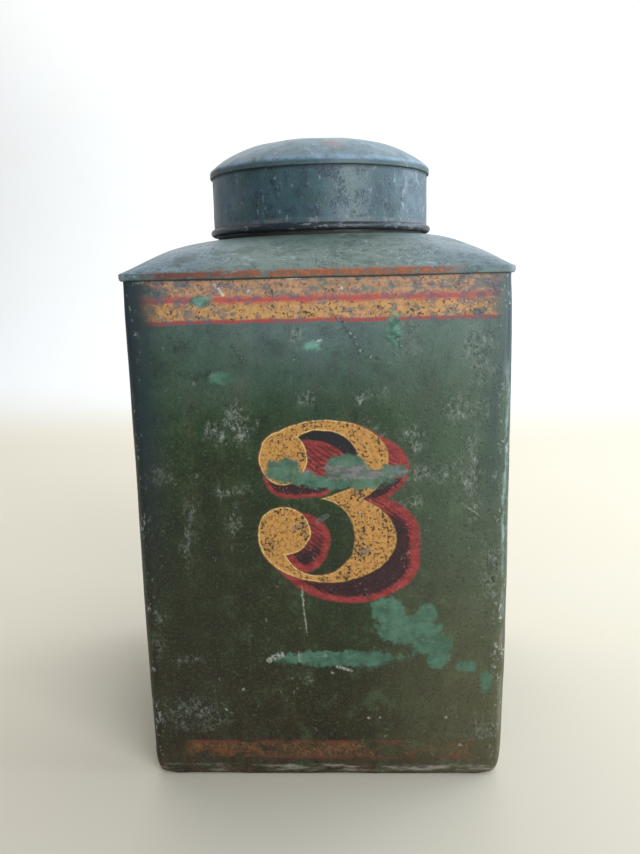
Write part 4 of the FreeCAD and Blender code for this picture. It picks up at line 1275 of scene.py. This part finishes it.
# ---- floor, light and camera
def floor_material():
    g = Graph("pale_floor")
    cloud = g.noise(300, 3, 0.5)
    shade = g.mix(g.ease(g.y, 900, 1900), (204, 194, 176), (232, 232, 232))
    return g.finish(g.mix(cloud * 0.2, shade, (216, 208, 194)), 0.8, cloud * 0.1, specular=0.2)


def make_floor():
    """A wide plate that curves up behind the canister into a backdrop."""
    bend, bend_radius, wide, top = 1500.0, 900.0, 7000.0, 3200.0
    profile = [(-2600.0, 0.0)] + line_points((-900.0, 0.0), (bend, 0.0), 6)
    profile += arc_points((bend, bend_radius), bend_radius, 270, 360, 14)[1:] + [(bend + bend_radius, top)]
    points = [(x * MM, y * MM, z * MM) for y, z in profile for x in (-wide, wide)]
    faces = [(2 * i, 2 * i + 1, 2 * i + 3, 2 * i + 2) for i in range(len(profile) - 1)]
    mesh = bpy.data.meshes.new("floor")
    mesh.from_pydata(points, [], faces)
    mesh.materials.append(floor_material())
    mesh.shade_smooth()
    floor = add_object("floor", mesh)


make_floor()

# Lamps: name, place and target in metres, size, power in watts and linear colour.
CENTRE = (0.0, 0.0, 0.22)
LAMPS = (
    ("window_front", (1.3, -1.9, 0.9), CENTRE, (1.5, 1.8), 66.0, (0.88, 0.95, 1.0)),
    ("window_right", (1.7, 0.3, 1.0), CENTRE, (1.4, 1.6), 36.0, (0.78, 0.90, 1.0)),
    ("window_behind", (0.2, 1.3, 1.5), CENTRE, (2.4, 1.0), 8.0, (0.80, 0.91, 1.0)),
    ("window_left", (-1.6, 0.3, 0.9), CENTRE, (1.0, 1.4), 5.0, (0.70, 0.86, 1.0)),
    ("room_above", (0.1, -0.9, 2.2), CENTRE, (1.6, 1.2), 4.0, (0.90, 0.96, 1.0)),
    ("backdrop_wash", (0.0, 0.9, 2.6), (0.0, 2.4, 0.8), (3.2, 0.8), 58.0, (1.0, 1.0, 1.0)),
)
for name, place, target, size, power, colour in LAMPS:
    data = bpy.data.lights.new(name, "AREA")
    data.shape = "RECTANGLE"
    data.size, data.size_y = size
    data.energy = power
    data.color = colour
    lamp = add_object(name, data)
    lamp.location = place
    lamp.rotation_mode = "QUATERNION"
    lamp.rotation_quaternion = (Vector(target) - Vector(place)).to_track_quat("-Z", "Y")

world = bpy.data.worlds.new("studio")
world.use_nodes = True
background = world.node_tree.nodes["Background"]
background.inputs["Color"].default_value = (0.86, 0.92, 1.0, 1.0)
background.inputs["Strength"].default_value = 0.14
bpy.context.scene.world = world
bpy.context.scene.view_settings.view_transform = "Standard"

CAMERA_PLACE = (0.01972, -0.60144, 0.34082)
YAW, PITCH, ROLL = (math.radians(angle) for angle in (-2.24, 11.01, -1.30))
LENS, SENSOR = 32.5, 36.0

camera_data = bpy.data.cameras.new("camera")
camera_data.sensor_fit = "VERTICAL"
camera_data.sensor_width = SENSOR
camera_data.sensor_height = SENSOR
camera_data.lens = LENS
camera = add_object("camera", camera_data)
pan, lean = [Matrix.Rotation(angle, 4, "Z") for angle in (-YAW, ROLL)]
tilt = Matrix.Rotation(math.pi / 2 - PITCH, 4, "X")
camera.matrix_world = Matrix.Translation(CAMERA_PLACE) @ pan @ tilt @ lean
bpy.context.scene.camera = camera
